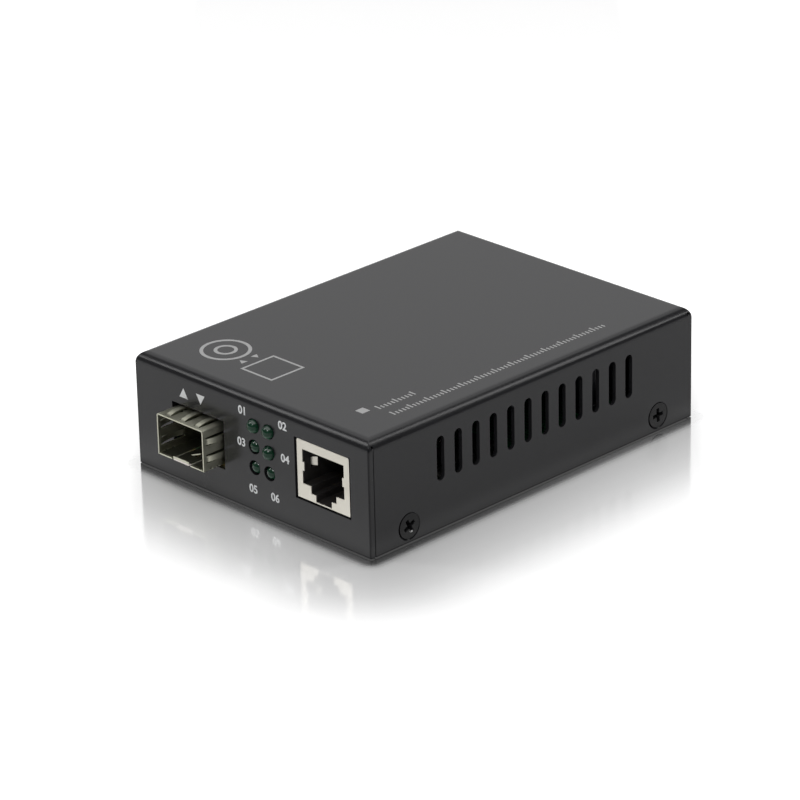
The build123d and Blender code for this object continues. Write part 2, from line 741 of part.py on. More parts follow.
# One bent leg of a chip: it comes out of the package's side and turns down to a
# foot on the board, pointing along +X from the package's edge
with BuildPart() as chip_leg:
    with BuildSketch(Plane.XZ):
        with BuildLine():
            Polyline((0, leg_height), (leg_shoulder, leg_height), (leg_shoulder, 0),
                     (leg_reach, 0), (leg_reach, leg_thickness),
                     (leg_shoulder + leg_thickness, leg_thickness),
                     (leg_shoulder + leg_thickness, leg_height + leg_thickness),
                     (0, leg_height + leg_thickness), close=True)
        make_face()
    extrude(amount=leg_width / 2, both=True)


# Places of the legs round a package, one row for each direction in turns
def leg_places(middle, span, pitch, count, turns):
    places = []
    for turn in turns:
        side = Plane(origin=(*middle, board_top), z_dir=(0, 0, 1)).rotated((0, 0, turn))
        for i in range(count):
            places.append(side * Location((span / 2, (i - (count - 1) / 2) * pitch, 0)))
    return places


# Main chip
with BuildPart() as main_chip:
    with BuildSketch(Plane.XY.offset(board_top + package_lift)):
        with Locations((middle_x, main_y)):
            Rectangle(main_chip_side, main_chip_side)
    extrude(amount=main_chip_height)
    chamfer(main_chip.faces().sort_by(Axis.Z)[-1].edges(), package_edge)
main_chip.part.label = "main_chip"
export_step(main_chip.part, "parts/main_chip.step")

# Power chip
with BuildPart() as power_chip:
    with BuildSketch(Plane.XY.offset(board_top + package_lift)):
        with Locations((middle_x, power_y)):
            Rectangle(power_chip_width, power_chip_length)
    extrude(amount=power_chip_height)
    chamfer(power_chip.faces().sort_by(Axis.Z)[-1].edges(), package_edge)
power_chip.part.label = "power_chip"
export_step(power_chip.part, "parts/power_chip.step")

# Legs of both chips
with BuildPart() as chip_legs:
    for place in leg_places((middle_x, main_y), main_chip_side, main_leg_pitch,
                            main_leg_count, (0, 90, 180, 270)):
        with Locations(place):
            add(chip_leg.part)
    for place in leg_places((middle_x, power_y), power_chip_width, power_leg_pitch,
                            power_leg_count, (0, 180)):
        with Locations(place):
            add(chip_leg.part)
chip_legs.part.label = "chip_legs"
export_step(chip_legs.part, "parts/chip_legs.step")

# Network transformer: a moulded block behind the socket
with BuildPart() as network_transformer:
    with BuildSketch(Plane.XY.offset(board_top)):
        with Locations((middle_x, network_y)):
            Rectangle(network_transformer_length, network_transformer_width)
    extrude(amount=network_transformer_height)
    chamfer(network_transformer.faces().sort_by(Axis.Z)[-1].edges(), package_edge)
network_transformer.part.label = "network_transformer"
export_step(network_transformer.part, "parts/network_transformer.step")

# Crystal: a low can with rounded ends
with BuildPart() as crystal:
    with BuildSketch(Plane.XY.offset(board_top)):
        with Locations((crystal_x, crystal_y)):
            SlotOverall(crystal_length, crystal_width, rotation=90)
    extrude(amount=crystal_height)
    chamfer(crystal.faces().sort_by(Axis.Z)[-1].edges(), package_edge)
crystal.part.label = "crystal"
export_step(crystal.part, "parts/crystal.step")

# Bridge rectifiers: two moulded blocks
with BuildPart() as bridge_rectifiers:
    with BuildSketch(Plane.XY.offset(board_top)):
        with Locations((capacitor_x, rectifier_y),
                       (capacitor_x, rectifier_y + rectifier_width + small_gap)):
            Rectangle(rectifier_length, rectifier_width)
    extrude(amount=rectifier_height)
    chamfer(bridge_rectifiers.faces().group_by(Axis.Z)[-1].edges(), package_edge)
bridge_rectifiers.part.label = "bridge_rectifiers"
export_step(bridge_rectifiers.part, "parts/bridge_rectifiers.step")

# Capacitors: aluminium cans with a rolled groove near the foot
with BuildPart() as capacitors:
    for y in (capacitor_y, capacitor_y - capacitor_width - capacitor_gap):
        with BuildSketch(Plane(origin=(capacitor_x, y, board_top), x_dir=(1, 0, 0),
                               z_dir=(0, -1, 0))):
            with BuildLine():
                Polyline((0, 0), (capacitor_width / 2, 0), (capacitor_width / 2, capacitor_groove),
                         (capacitor_width / 2 - capacitor_roll, capacitor_groove + capacitor_roll),
                         (capacitor_width / 2, capacitor_groove + 2 * capacitor_roll),
                         (capacitor_width / 2, capacitor_height - capacitor_roll),
                         (capacitor_width / 2 - capacitor_roll, capacitor_height),
                         (0, capacitor_height), close=True)
            make_face()
        revolve(axis=Axis((capacitor_x, y, board_top), (0, 0, 1)))
capacitors.part.label = "capacitors"
export_step(capacitors.part, "parts/capacitors.step")

# Power transformer: a base plate of plastic, a winding and a ferrite core whose
# middle leg passes up through the winding
window_height = core_height - 2 * core_leg
core_bottom = board_top + transformer_base_height
with BuildPart() as transformer_base:
    with BuildSketch(Plane.XY.offset(board_top)):
        with Locations(transformer_place):
            Rectangle(core_length + 2 * transformer_base_rim, core_width + 2 * window_width)
    extrude(amount=transformer_base_height)
transformer_base.part.label = "transformer_base"
export_step(transformer_base.part, "parts/transformer_base.step")

with BuildPart() as transformer_core:
    with BuildSketch(Plane(origin=(*transformer_place, core_bottom),
                           x_dir=(1, 0, 0), z_dir=(0, -1, 0))):
        Rectangle(core_length, core_height, align=(Align.CENTER, Align.MIN))
        for side in (-1, 1):
            with Locations((side * (core_middle + window_width) / 2, core_height / 2)):
                Rectangle(window_width, window_height, mode=Mode.SUBTRACT)
    extrude(amount=core_width / 2, both=True)
transformer_core.part.label = "transformer_core"
export_step(transformer_core.part, "parts/transformer_core.step")

with BuildPart() as transformer_winding:
    with BuildSketch(Plane.XY.offset(core_bottom + core_leg + fit)):
        with Locations(transformer_place):
            RectangleRounded(core_middle + 2 * (window_width - fit),
                             core_width + 2 * (window_width - fit), winding_corner)
            Rectangle(core_middle + 2 * fit, core_width + 2 * fit, mode=Mode.SUBTRACT)
    extrude(amount=window_height - 2 * fit)
transformer_winding.part.label = "transformer_winding"
export_step(transformer_winding.part, "parts/transformer_winding.step")

# Inductor: a square ferrite shell round a drum
with BuildPart() as inductor:
    with BuildSketch(Plane.XY.offset(board_top)):
        with Locations((middle_x, inductor_y)):
            RectangleRounded(inductor_width, inductor_width, inductor_corner)
    extrude(amount=inductor_height)
    with BuildSketch(Plane.XY.offset(board_top + inductor_height)):
        with Locations((middle_x, inductor_y)):
            Circle(inductor_drum / 2 + inductor_gap)
            Circle(inductor_drum / 2, mode=Mode.SUBTRACT)
    extrude(amount=-inductor_gap_depth, mode=Mode.SUBTRACT)
inductor.part.label = "inductor"
export_step(inductor.part, "parts/inductor.step")
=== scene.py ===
import math
import bpy
import bmesh
from mathutils import Matrix, Vector


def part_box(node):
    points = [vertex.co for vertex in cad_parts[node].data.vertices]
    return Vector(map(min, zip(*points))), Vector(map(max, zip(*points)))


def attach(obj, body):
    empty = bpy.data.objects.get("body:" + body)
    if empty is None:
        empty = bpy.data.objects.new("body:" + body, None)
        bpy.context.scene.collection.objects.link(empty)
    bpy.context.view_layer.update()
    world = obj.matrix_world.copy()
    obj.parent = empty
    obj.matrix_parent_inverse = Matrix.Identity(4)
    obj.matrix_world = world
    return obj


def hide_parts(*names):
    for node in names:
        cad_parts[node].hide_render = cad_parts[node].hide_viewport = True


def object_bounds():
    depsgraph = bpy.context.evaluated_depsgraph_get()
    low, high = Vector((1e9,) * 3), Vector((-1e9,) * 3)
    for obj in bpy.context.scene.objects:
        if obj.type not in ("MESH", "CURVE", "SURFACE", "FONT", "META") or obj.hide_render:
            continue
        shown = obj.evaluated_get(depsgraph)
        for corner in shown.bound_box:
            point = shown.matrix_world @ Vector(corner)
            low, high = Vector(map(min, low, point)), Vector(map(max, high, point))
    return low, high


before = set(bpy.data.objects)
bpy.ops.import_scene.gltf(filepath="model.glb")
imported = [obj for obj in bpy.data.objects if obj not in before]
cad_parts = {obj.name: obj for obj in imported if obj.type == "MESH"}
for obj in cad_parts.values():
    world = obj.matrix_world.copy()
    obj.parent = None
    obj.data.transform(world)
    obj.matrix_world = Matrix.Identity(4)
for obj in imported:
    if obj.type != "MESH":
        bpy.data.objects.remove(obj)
cad_box = [list(corner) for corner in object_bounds()]

# Base plate: a channel of 1 mm cold-rolled steel, powder coated black like the
# cover. The coat rounds each cut edge and dries to a fine, even orange peel
# with a soft sheen.
MM = 0.001
COAT_EDGE = 0.16 * MM
COAT_PEEL = 0.6 * MM       # spacing of the orange peel's waves
COAT_GRAIN = 0.1 * MM      # size of the powder's grains
COAT_CLOUD = 24 * MM       # slow change in how the coat flowed
COAT_BUMP = 0.006 * MM
# Painted shade: the coat is painted darker and less glossy along the cut ends of
# the front and rear walls, along the lower edges and in the countersinks
CUT_END_AT = 35.2 * MM     # across the box, to either side of the middle
CUT_END_REACH = 0.17 * MM
CUT_END_WALL = 48.7 * MM   # the cut ends lie further out than this, along the box
SHADED_FOOT_TOP = 0.45 * MM
COUNTERSINK_PLACE = (38.0 * MM, 3.8 * MM)     # along the box and up
COUNTERSINK_REACH = 3.12 * MM
# How a CAD surface is welded, made flat again and rounded
WELD_DISTANCE = 0.001 * MM
FLAT_WITHIN = math.radians(1)
SHARP_FROM = math.radians(30)


# A colour written as sRGB hex, turned to linear
def linear(code):
    parts = [int(code[i:i + 2], 16) / 255 for i in (1, 3, 5)]
    return [p / 12.92 if p <= 0.04045 else ((p + 0.055) / 1.055) ** 2.4 for p in parts] + [1.0]


# An empty material, ready for its nodes
def new_material(name):
    made = bpy.data.materials.new(name)
    made.use_nodes = True
    made.node_tree.nodes.clear()
    return made


# Adds one node: inputs holds its sockets' values or links, settings its properties
def add(material, kind, inputs=None, **settings):
    made = material.node_tree.nodes.new(kind)
    for name, value in settings.items():
        setattr(made, name, value)
    for name, value in (inputs or {}).items():
        if isinstance(value, bpy.types.NodeSocket):
            material.node_tree.links.new(value, made.inputs[name])
        else:
            made.inputs[name].default_value = value
    return made


# A colour that goes from one tone to another with a pattern
def two_tones(material, pattern, low, high):
    ramp = add(material, "ShaderNodeValToRGB", {"Fac": pattern})
    ramp.color_ramp.elements[0].color = linear(low)
    ramp.color_ramp.elements[1].color = linear(high)
    return ramp


# Values multiplied together; for masks, this is where all of them hold
def product(material, first, *others):
    for other in others:
        first = add(material, "ShaderNodeMath", {0: first, 1: other}, operation="MULTIPLY").outputs["Value"]
    return first


# Puts a mesh in the scene as a piece of the object, with its material, and hides the CAD nodes it stands for
def place_piece(name, data, material, slot, *nodes):
    piece = bpy.data.objects.new(name, data)
    bpy.context.scene.collection.objects.link(piece)
    data.materials.clear()
    data.materials.append(material)
    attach(piece, "root")
    if nodes:
        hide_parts(*nodes)
    return piece


# A CAD node's surface as a new piece: welded, its flat faces whole again, and
# each sharp edge rounded as the finish or the tool leaves it
def finished(node, name, edge, material, slot, steps=2):
    mesh = bmesh.new()
    mesh.from_mesh(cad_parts[node].data)
    bmesh.ops.remove_doubles(mesh, verts=mesh.verts, dist=WELD_DISTANCE)
    bmesh.ops.dissolve_limit(mesh, angle_limit=FLAT_WITHIN, verts=mesh.verts, edges=mesh.edges)
    mesh.normal_update()
    data = bpy.data.meshes.new(name)
    mesh.to_mesh(data)
    mesh.free()
    piece = place_piece(name, data, material, slot, node)
    rounding = piece.modifiers.new("rounded_edges", "BEVEL")
    rounding.width = edge
    rounding.segments = steps
    rounding.limit_method = "ANGLE"
    rounding.angle_limit = SHARP_FROM
    rounding.harden_normals = True
    data.shade_smooth()
    data.set_sharp_from_angle(angle=SHARP_FROM)
    shading = piece.modifiers.new("flat_faces_stay_flat", "WEIGHTED_NORMAL")
    shading.keep_sharp = True
    return piece


coated_steel = new_material("powder_coated_steel")
place = add(coated_steel, "ShaderNodeTexCoord")
peel = add(coated_steel, "ShaderNodeTexNoise",
           {"Vector": place.outputs["Object"], "Scale": 1 / COAT_PEEL, "Detail": 2.0, "Roughness": 0.5})
grain = add(coated_steel, "ShaderNodeTexNoise",
            {"Vector": place.outputs["Object"], "Scale": 1 / COAT_GRAIN, "Detail": 1.0})
cloud = add(coated_steel, "ShaderNodeTexNoise",
            {"Vector": place.outputs["Object"], "Scale": 1 / COAT_CLOUD, "Detail": 3.0})
tone = two_tones(coated_steel, cloud.outputs["Fac"], "#202022", "#252527")
sheen = add(coated_steel, "ShaderNodeMapRange",
            {"Value": cloud.outputs["Fac"], "From Min": 0.3, "From Max": 0.7, "To Min": 0.19, "To Max": 0.22})
from_middle = add(coated_steel, "ShaderNodeVectorMath", {0: place.outputs["Object"]}, operation="ABSOLUTE")
spot = add(coated_steel, "ShaderNodeSeparateXYZ", {"Vector": from_middle.outputs["Vector"]})
# Painted shade: the mask of the cut ends, the lower edges and the countersinks, where the coat's colour is darker and
# its gloss weaker
at_end = add(coated_steel, "ShaderNodeMath", {0: spot.outputs["X"], 1: CUT_END_AT, 2: CUT_END_REACH},
             operation="COMPARE")
on_wall = add(coated_steel, "ShaderNodeMath", {0: spot.outputs["Y"], 1: CUT_END_WALL}, operation="GREATER_THAN")
shaded_cut_end = product(coated_steel, at_end.outputs["Value"], on_wall.outputs["Value"])
from_screw = add(coated_steel, "ShaderNodeVectorMath",
                 {0: from_middle.outputs["Vector"], 1: (cad_box[1][0], *COUNTERSINK_PLACE)}, operation="DISTANCE")
shaded_countersink = add(coated_steel, "ShaderNodeMath", {0: from_screw.outputs["Value"], 1: COUNTERSINK_REACH},
           operation="LESS_THAN")
shaded_foot = add(coated_steel, "ShaderNodeMath", {0: spot.outputs["Z"], 1: SHADED_FOOT_TOP}, operation="LESS_THAN")
shaded_edges = add(coated_steel, "ShaderNodeMath", {0: shaded_cut_end, 1: shaded_foot.outputs["Value"]}, operation="MAXIMUM")
painted_shade_mask = add(coated_steel, "ShaderNodeMath", {0: shaded_edges.outputs["Value"], 1: shaded_countersink.outputs["Value"]},
           operation="MAXIMUM")
shade = add(coated_steel, "ShaderNodeMixRGB",
            {"Fac": painted_shade_mask.outputs["Value"], "Color1": tone.outputs["Color"], "Color2": linear("#1c1c1e")})
shine = add(coated_steel, "ShaderNodeMapRange", {"Value": painted_shade_mask.outputs["Value"], "To Min": 0.31, "To Max": 0.15})
relief = add(coated_steel, "ShaderNodeMath",
             {0: grain.outputs["Fac"], 1: 0.3, 2: peel.outputs["Fac"]}, operation="MULTIPLY_ADD")
bumps = add(coated_steel, "ShaderNodeBump",
            {"Height": relief.outputs["Value"], "Distance": COAT_BUMP, "Strength": 0.5})
coat = add(coated_steel, "ShaderNodeBsdfPrincipled",
           {"Base Color": shade.outputs["Color"], "Roughness": sheen.outputs["Result"],
            "Normal": bumps.outputs["Normal"], "IOR": 1.5, "Specular IOR Level": shine.outputs["Result"]})
add(coated_steel, "ShaderNodeOutputMaterial", {"Surface": coat.outputs["BSDF"]})
finished("base_plate", "folded_base_plate", COAT_EDGE, coated_steel, "housing_coat")

# Standoffs: hexagonal brass bar, turned and pressed into the base plate. The
# turning tool leaves fine rings on the bright yellow metal.
TURNING_RINGS = 0.12 * MM
BRASS_STAINS = 2 * MM
WAVE_PERIOD = 0.314        # the wave texture repeats after this at a scale of 1
brass = new_material("turned_brass")
place = add(brass, "ShaderNodeTexCoord")
rings = add(brass, "ShaderNodeTexWave",
            {"Vector": place.outputs["Object"], "Scale": WAVE_PERIOD / TURNING_RINGS, "Distortion": 0.4},
            bands_direction="Z")
stains = add(brass, "ShaderNodeTexNoise", {"Vector": place.outputs["Object"], "Scale": 1 / BRASS_STAINS})
tone = two_tones(brass, stains.outputs["Fac"], "#b8944e", "#d3b06a")
bumps = add(brass, "ShaderNodeBump",
            {"Height": rings.outputs["Fac"], "Distance": 0.004 * MM, "Strength": 0.5})
metal = add(brass, "ShaderNodeBsdfPrincipled",
            {"Base Color": tone.outputs["Color"], "Metallic": 1.0, "Roughness": 0.28,
             "Normal": bumps.outputs["Normal"]})
add(brass, "ShaderNodeOutputMaterial", {"Surface": metal.outputs["BSDF"]})
finished("board_standoffs", "hexagonal_standoffs", 0.12 * MM, brass, "brass_part")

# Circuit board: 1.6 mm glass-epoxy laminate under green solder mask, with the
# copper tracks as paler lines under the mask and the bare laminate at its edges.
TRACK_PITCH = 1.2 * MM
TRACK_WIDTH = 0.16 * TRACK_PITCH
TRACK_LENGTH = 11 * TRACK_PITCH
FACE_UP_OR_DOWN = 0.7      # a normal steeper than this is a face's, not an edge's
solder_mask = new_material("green_solder_mask")
place = add(solder_mask, "ShaderNodeTexCoord")
tracks = add(solder_mask, "ShaderNodeTexBrick",
             {"Vector": place.outputs["Object"], "Scale": 1.0, "Mortar Size": TRACK_WIDTH,
              "Brick Width": TRACK_LENGTH, "Row Height": TRACK_PITCH, "Mortar Smooth": 0.2,
              "Color1": linear("#0d4a2c"), "Color2": linear("#0f5030"), "Mortar": linear("#1f7a48")},
             offset=0.37)
shape = add(solder_mask, "ShaderNodeNewGeometry")
facing = add(solder_mask, "ShaderNodeSeparateXYZ", {"Vector": shape.outputs["Normal"]})
flat = add(solder_mask, "ShaderNodeMath", {0: facing.outputs["Z"]}, operation="ABSOLUTE")
is_face = add(solder_mask, "ShaderNodeMath", {0: flat.outputs["Value"], 1: FACE_UP_OR_DOWN},
              operation="GREATER_THAN")
tone = add(solder_mask, "ShaderNodeMixRGB",
           {"Fac": is_face.outputs["Value"], "Color1": linear("#a7965f"), "Color2": tracks.outputs["Color"]})
bumps = add(solder_mask, "ShaderNodeBump",
            {"Height": tracks.outputs["Fac"], "Distance": 0.03 * MM, "Strength": 0.6})
mask = add(solder_mask, "ShaderNodeBsdfPrincipled",
           {"Base Color": tone.outputs["Color"], "Roughness": 0.3, "IOR": 1.5,
            "Normal": bumps.outputs["Normal"]})
add(solder_mask, "ShaderNodeOutputMaterial", {"Surface": mask.outputs["BSDF"]})
finished("circuit_board", "printed_board", 0.08 * MM, solder_mask, "board_mask")

# Leads, chip legs, crystal can and inlet pin: steel and copper, cold formed or
# drawn, under bright nickel or tin with a faint grain and small stains.
PLATING_GRAIN = 0.25 * MM
# How far each is rounded, in mm
PLATED_EDGES = {"lamp_leads": 0.06, "chip_legs": 0.02, "crystal": 0.15, "inlet_pin": 0.1}
plated_steel = new_material("bright_nickel_plate")
place = add(plated_steel, "ShaderNodeTexCoord")
grain = add(plated_steel, "ShaderNodeTexNoise",
            {"Vector": place.outputs["Object"], "Scale": 1 / PLATING_GRAIN, "Detail": 3.0})
tone = two_tones(plated_steel, grain.outputs["Fac"], "#98948c", "#b8b4ac")
gloss = add(plated_steel, "ShaderNodeMapRange",
            {"Value": grain.outputs["Fac"], "To Min": 0.3, "To Max": 0.45})
metal = add(plated_steel, "ShaderNodeBsdfPrincipled",
            {"Base Color": tone.outputs["Color"], "Metallic": 1.0, "Roughness": gloss.outputs["Result"]})
add(plated_steel, "ShaderNodeOutputMaterial", {"Surface": metal.outputs["BSDF"]})
for node, edge in PLATED_EDGES.items():
    finished(node, "plated_" + node, edge * MM, plated_steel, "bright_steel")

# Board screws: M3 pan heads, cold formed, zinc plated and passivated to a dull
# grey that is a little blotchy.
PASSIVATION = 0.8 * MM
zinc = new_material("passivated_zinc")
place = add(zinc, "ShaderNodeTexCoord")
blotches = add(zinc, "ShaderNodeTexNoise", {"Vector": place.outputs["Object"], "Scale": 1 / PASSIVATION})
tone = two_tones(zinc, blotches.outputs["Fac"], "#4c4b49", "#5f5e5a")
metal = add(zinc, "ShaderNodeBsdfPrincipled",
            {"Base Color": tone.outputs["Color"], "Metallic": 1.0, "Roughness": 0.6})
add(zinc, "ShaderNodeOutputMaterial", {"Surface": metal.outputs["BSDF"]})
finished("board_screws", "pan_head_screws", 0.12 * MM, zinc, "bright_steel")

# Chips, rectifiers, network transformer and the power transformer's base: black
# filled epoxy, moulded, with the matt skin that a spark-worn mould gives.
MOULD_GRAIN = 0.07 * MM
epoxy = new_material("moulded_black_epoxy")
place = add(epoxy, "ShaderNodeTexCoord")
grain = add(epoxy, "ShaderNodeTexNoise",
            {"Vector": place.outputs["Object"], "Scale": 1 / MOULD_GRAIN, "Detail": 2.0})
tone = two_tones(epoxy, grain.outputs["Fac"], "#19191a", "#2a2a2b")
bumps = add(epoxy, "ShaderNodeBump",
            {"Height": grain.outputs["Fac"], "Distance": 0.01 * MM, "Strength": 0.6})
plastic = add(epoxy, "ShaderNodeBsdfPrincipled",
              {"Base Color": tone.outputs["Color"], "Roughness": 0.55, "IOR": 1.55,
               "Normal": bumps.outputs["Normal"]})
add(epoxy, "ShaderNodeOutputMaterial", {"Surface": plastic.outputs["BSDF"]})
for node in ("main_chip", "power_chip", "bridge_rectifiers", "network_transformer", "transformer_base"):
    finished(node, "moulded_" + node, 0.1 * MM, epoxy, "chip_moulding")

# Transformer core and inductor: sintered ferrite, ground flat, a dark grey
# ceramic with a crystal sparkle and chipped-looking, slightly porous skin.
FERRITE_GRAIN = 0.16 * MM
ferrite = new_material("sintered_ferrite")
place = add(ferrite, "ShaderNodeTexCoord")
crystals = add(ferrite, "ShaderNodeTexVoronoi",
               {"Vector": place.outputs["Object"], "Scale": 1 / FERRITE_GRAIN})
tone = two_tones(ferrite, crystals.outputs["Distance"], "#2b2a2b", "#454446")
bumps = add(ferrite, "ShaderNodeBump",
            {"Height": crystals.outputs["Distance"], "Distance": 0.01 * MM, "Strength": 0.5})
ceramic = add(ferrite, "ShaderNodeBsdfPrincipled",
              {"Base Color": tone.outputs["Color"], "Roughness": 0.42, "IOR": 2.0,
               "Normal": bumps.outputs["Normal"]})
add(ferrite, "ShaderNodeOutputMaterial", {"Surface": ceramic.outputs["BSDF"]})
for node in ("transformer_core", "inductor"):
    finished(node, "ferrite_" + node, 0.12 * MM, ferrite, "ferrite")

# Transformer winding: enamelled wire under turns of yellow polyester tape,
# smooth and glossy, with the edge of each turn showing as a fine line.
TAPE_TURN = 0.8 * MM
tape = new_material("polyester_winding_tape")
place = add(tape, "ShaderNodeTexCoord")
turns = add(tape, "ShaderNodeTexWave",
            {"Vector": place.outputs["Object"], "Scale": WAVE_PERIOD / TAPE_TURN, "Distortion": 0.6},
            bands_direction="Z", wave_profile="SAW")
tone = two_tones(tape, turns.outputs["Fac"], "#b8901c", "#d9b437")
bumps = add(tape, "ShaderNodeBump", {"Height": turns.outputs["Fac"], "Distance": 0.03 * MM, "Strength": 0.5})
film = add(tape, "ShaderNodeBsdfPrincipled",
           {"Base Color": tone.outputs["Color"], "Roughness": 0.25, "IOR": 1.6,
            "Normal": bumps.outputs["Normal"]})
add(tape, "ShaderNodeOutputMaterial", {"Surface": film.outputs["BSDF"]})
finished("transformer_winding", "taped_winding", 0.15 * MM, tape, "winding_tape")

# Capacitors: drawn aluminium cans in a dark shrunk sleeve that leaves the top
# bare. The sleeve is glossy, the bare top satin with a scored vent.
SLEEVE_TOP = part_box("capacitors")[1].z - 0.6 * MM
SHRINK_MARKS = 1.5 * MM
can = new_material("sleeved_aluminium_can")
place = add(can, "ShaderNodeTexCoord")
spot = add(can, "ShaderNodeSeparateXYZ", {"Vector": place.outputs["Object"]})
bare = add(can, "ShaderNodeMath", {0: spot.outputs["Z"], 1: SLEEVE_TOP}, operation="GREATER_THAN")
shrink = add(can, "ShaderNodeTexNoise", {"Vector": place.outputs["Object"], "Scale": 1 / SHRINK_MARKS})
sleeve = two_tones(can, shrink.outputs["Fac"], "#14161c", "#1e212a")
tone = add(can, "ShaderNodeMixRGB",
           {"Fac": bare.outputs["Value"], "Color1": sleeve.outputs["Color"], "Color2": linear("#c4c6c9")})
skin = add(can, "ShaderNodeBsdfPrincipled",
           {"Base Color": tone.outputs["Color"], "Metallic": bare.outputs["Value"], "Roughness": 0.3})
add(can, "ShaderNodeOutputMaterial", {"Surface": skin.outputs["BSDF"]})
finished("capacitors", "sleeved_capacitors", 0.15 * MM, can, "can_aluminium", steps=3)

# Moulded black parts: socket housing, module connector, lamp holder and power
# inlet, glass-filled PBT from a polished mould, satin with a faint flow.
FLOW_MARKS = 3 * MM
SKIN_GRAIN = 0.15 * MM
pbt = new_material("moulded_black_pbt")
place = add(pbt, "ShaderNodeTexCoord")
flow = add(pbt, "ShaderNodeTexNoise",
           {"Vector": place.outputs["Object"], "Scale": 1 / FLOW_MARKS, "Detail": 2.0})
grain = add(pbt, "ShaderNodeTexNoise", {"Vector": place.outputs["Object"], "Scale": 1 / SKIN_GRAIN})
tone = two_tones(pbt, flow.outputs["Fac"], "#262424", "#302e2e")
gloss = add(pbt, "ShaderNodeMapRange", {"Value": flow.outputs["Fac"], "To Min": 0.35, "To Max": 0.55})
bumps = add(pbt, "ShaderNodeBump", {"Height": grain.outputs["Fac"], "Distance": 0.006 * MM, "Strength": 0.5})
plastic = add(pbt, "ShaderNodeBsdfPrincipled",
              {"Base Color": tone.outputs["Color"], "Roughness": gloss.outputs["Result"], "IOR": 1.55,
               "Normal": bumps.outputs["Normal"]})
add(pbt, "ShaderNodeOutputMaterial", {"Surface": plastic.outputs["BSDF"]})
for node in ("rj45_housing", "sfp_connector", "lamp_holder", "inlet_housing"):
    finished(node, "moulded_" + node, 0.12 * MM, pbt, "black_moulding")

# Contacts of the socket and of the module connector: phosphor bronze stamped
# and plated with hard gold, a smooth warm yellow.
GOLD_POLISH = 0.5 * MM
gold = new_material("hard_gold_plate")
place = add(gold, "ShaderNodeTexCoord")
polish = add(gold, "ShaderNodeTexNoise", {"Vector": place.outputs["Object"], "Scale": 1 / GOLD_POLISH})
tone = two_tones(gold, polish.outputs["Fac"], "#c9a04a", "#e0bd6a")
metal = add(gold, "ShaderNodeBsdfPrincipled",
            {"Base Color": tone.outputs["Color"], "Metallic": 1.0, "Roughness": 0.22})
add(gold, "ShaderNodeOutputMaterial", {"Surface": metal.outputs["BSDF"]})
for node in ("rj45_contacts", "sfp_contacts"):
    finished(node, "gold_" + node, 0.03 * MM, gold, "gold_contact")

# Socket shield: 0.3 mm copper alloy sheet, bent and folded, tinned satin. The
# plating is a warm, pale grey with rolling lines along its height.
ROLLING_LINES = 0.12 * MM
LINE_STRETCH = 0.04        # makes the lines 25 times as long as they are wide
TIN_HAZE = 4 * MM
SHEET_EDGE = 0.06 * MM
tinned = new_material("satin_tin_plate")
place = add(tinned, "ShaderNodeTexCoord")
stretch = add(tinned, "ShaderNodeMapping", {"Vector": place.outputs["Object"], "Scale": (1.0, 1.0, LINE_STRETCH)})
lines = add(tinned, "ShaderNodeTexNoise",
            {"Vector": stretch.outputs["Vector"], "Scale": 1 / ROLLING_LINES, "Detail": 2.0})
haze = add(tinned, "ShaderNodeTexNoise", {"Vector": place.outputs["Object"], "Scale": 1 / TIN_HAZE})
tone = two_tones(tinned, haze.outputs["Fac"], "#c8c4b8", "#d5d2c9")
bumps = add(tinned, "ShaderNodeBump", {"Height": lines.outputs["Fac"], "Distance": 0.004 * MM, "Strength": 0.4})
metal = add(tinned, "ShaderNodeBsdfPrincipled",
            {"Base Color": tone.outputs["Color"], "Metallic": 1.0, "Roughness": 0.38,
             "Normal": bumps.outputs["Normal"]})
add(tinned, "ShaderNodeOutputMaterial", {"Surface": metal.outputs["BSDF"]})
finished("rj45_shield", "tinned_socket_shield", SHEET_EDGE, tinned, "nickel_shield")

# Module cage: 0.3 mm nickel silver, stamped and folded, with spring fingers
# lanced out of it. It is unplated, an olive grey that is darker where handled.
# The tongue's lip is made pale and less metallic; painted shade darkens the floor inside.
HANDLING = 5 * MM
LIP_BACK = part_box("sfp_cage_floor")[0].y + 0.6 * MM
LIP_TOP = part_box("sfp_cage")[0].z + 0.4 * MM
LIP_MIDDLE = (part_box("sfp_cage_floor")[0].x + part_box("sfp_cage_floor")[1].x) / 2 + 0.4 * MM
LIP_REACH = 2.6 * MM
FLOOR_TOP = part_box("sfp_cage")[0].z + 1.2 * MM
FACE_UP = 0.9              # a normal steeper than this is the floor's
nickel_silver = new_material("rolled_nickel_silver")
place = add(nickel_silver, "ShaderNodeTexCoord")
handled = add(nickel_silver, "ShaderNodeTexNoise",
              {"Vector": place.outputs["Object"], "Scale": 1 / HANDLING, "Detail": 4.0})
stretch = add(nickel_silver, "ShaderNodeMapping",
              {"Vector": place.outputs["Object"], "Scale": (1.0, LINE_STRETCH, 1.0)})
lines = add(nickel_silver, "ShaderNodeTexNoise",
            {"Vector": stretch.outputs["Vector"], "Scale": 1 / ROLLING_LINES, "Detail": 2.0})
tone = two_tones(nickel_silver, handled.outputs["Fac"], "#aeae9c", "#c8c8b8")
gloss = add(nickel_silver, "ShaderNodeMapRange",
            {"Value": handled.outputs["Fac"], "From Min": 0.3, "From Max": 0.7, "To Min": 0.36, "To Max": 0.46})
bumps = add(nickel_silver, "ShaderNodeBump",
            {"Height": lines.outputs["Fac"], "Distance": 0.004 * MM, "Strength": 0.4})
spot = add(nickel_silver, "ShaderNodeSeparateXYZ", {"Vector": place.outputs["Object"]})
lip_front = add(nickel_silver, "ShaderNodeMath", {0: spot.outputs["Y"], 1: LIP_BACK}, operation="LESS_THAN")
lip_low = add(nickel_silver, "ShaderNodeMath", {0: spot.outputs["Z"], 1: LIP_TOP}, operation="LESS_THAN")
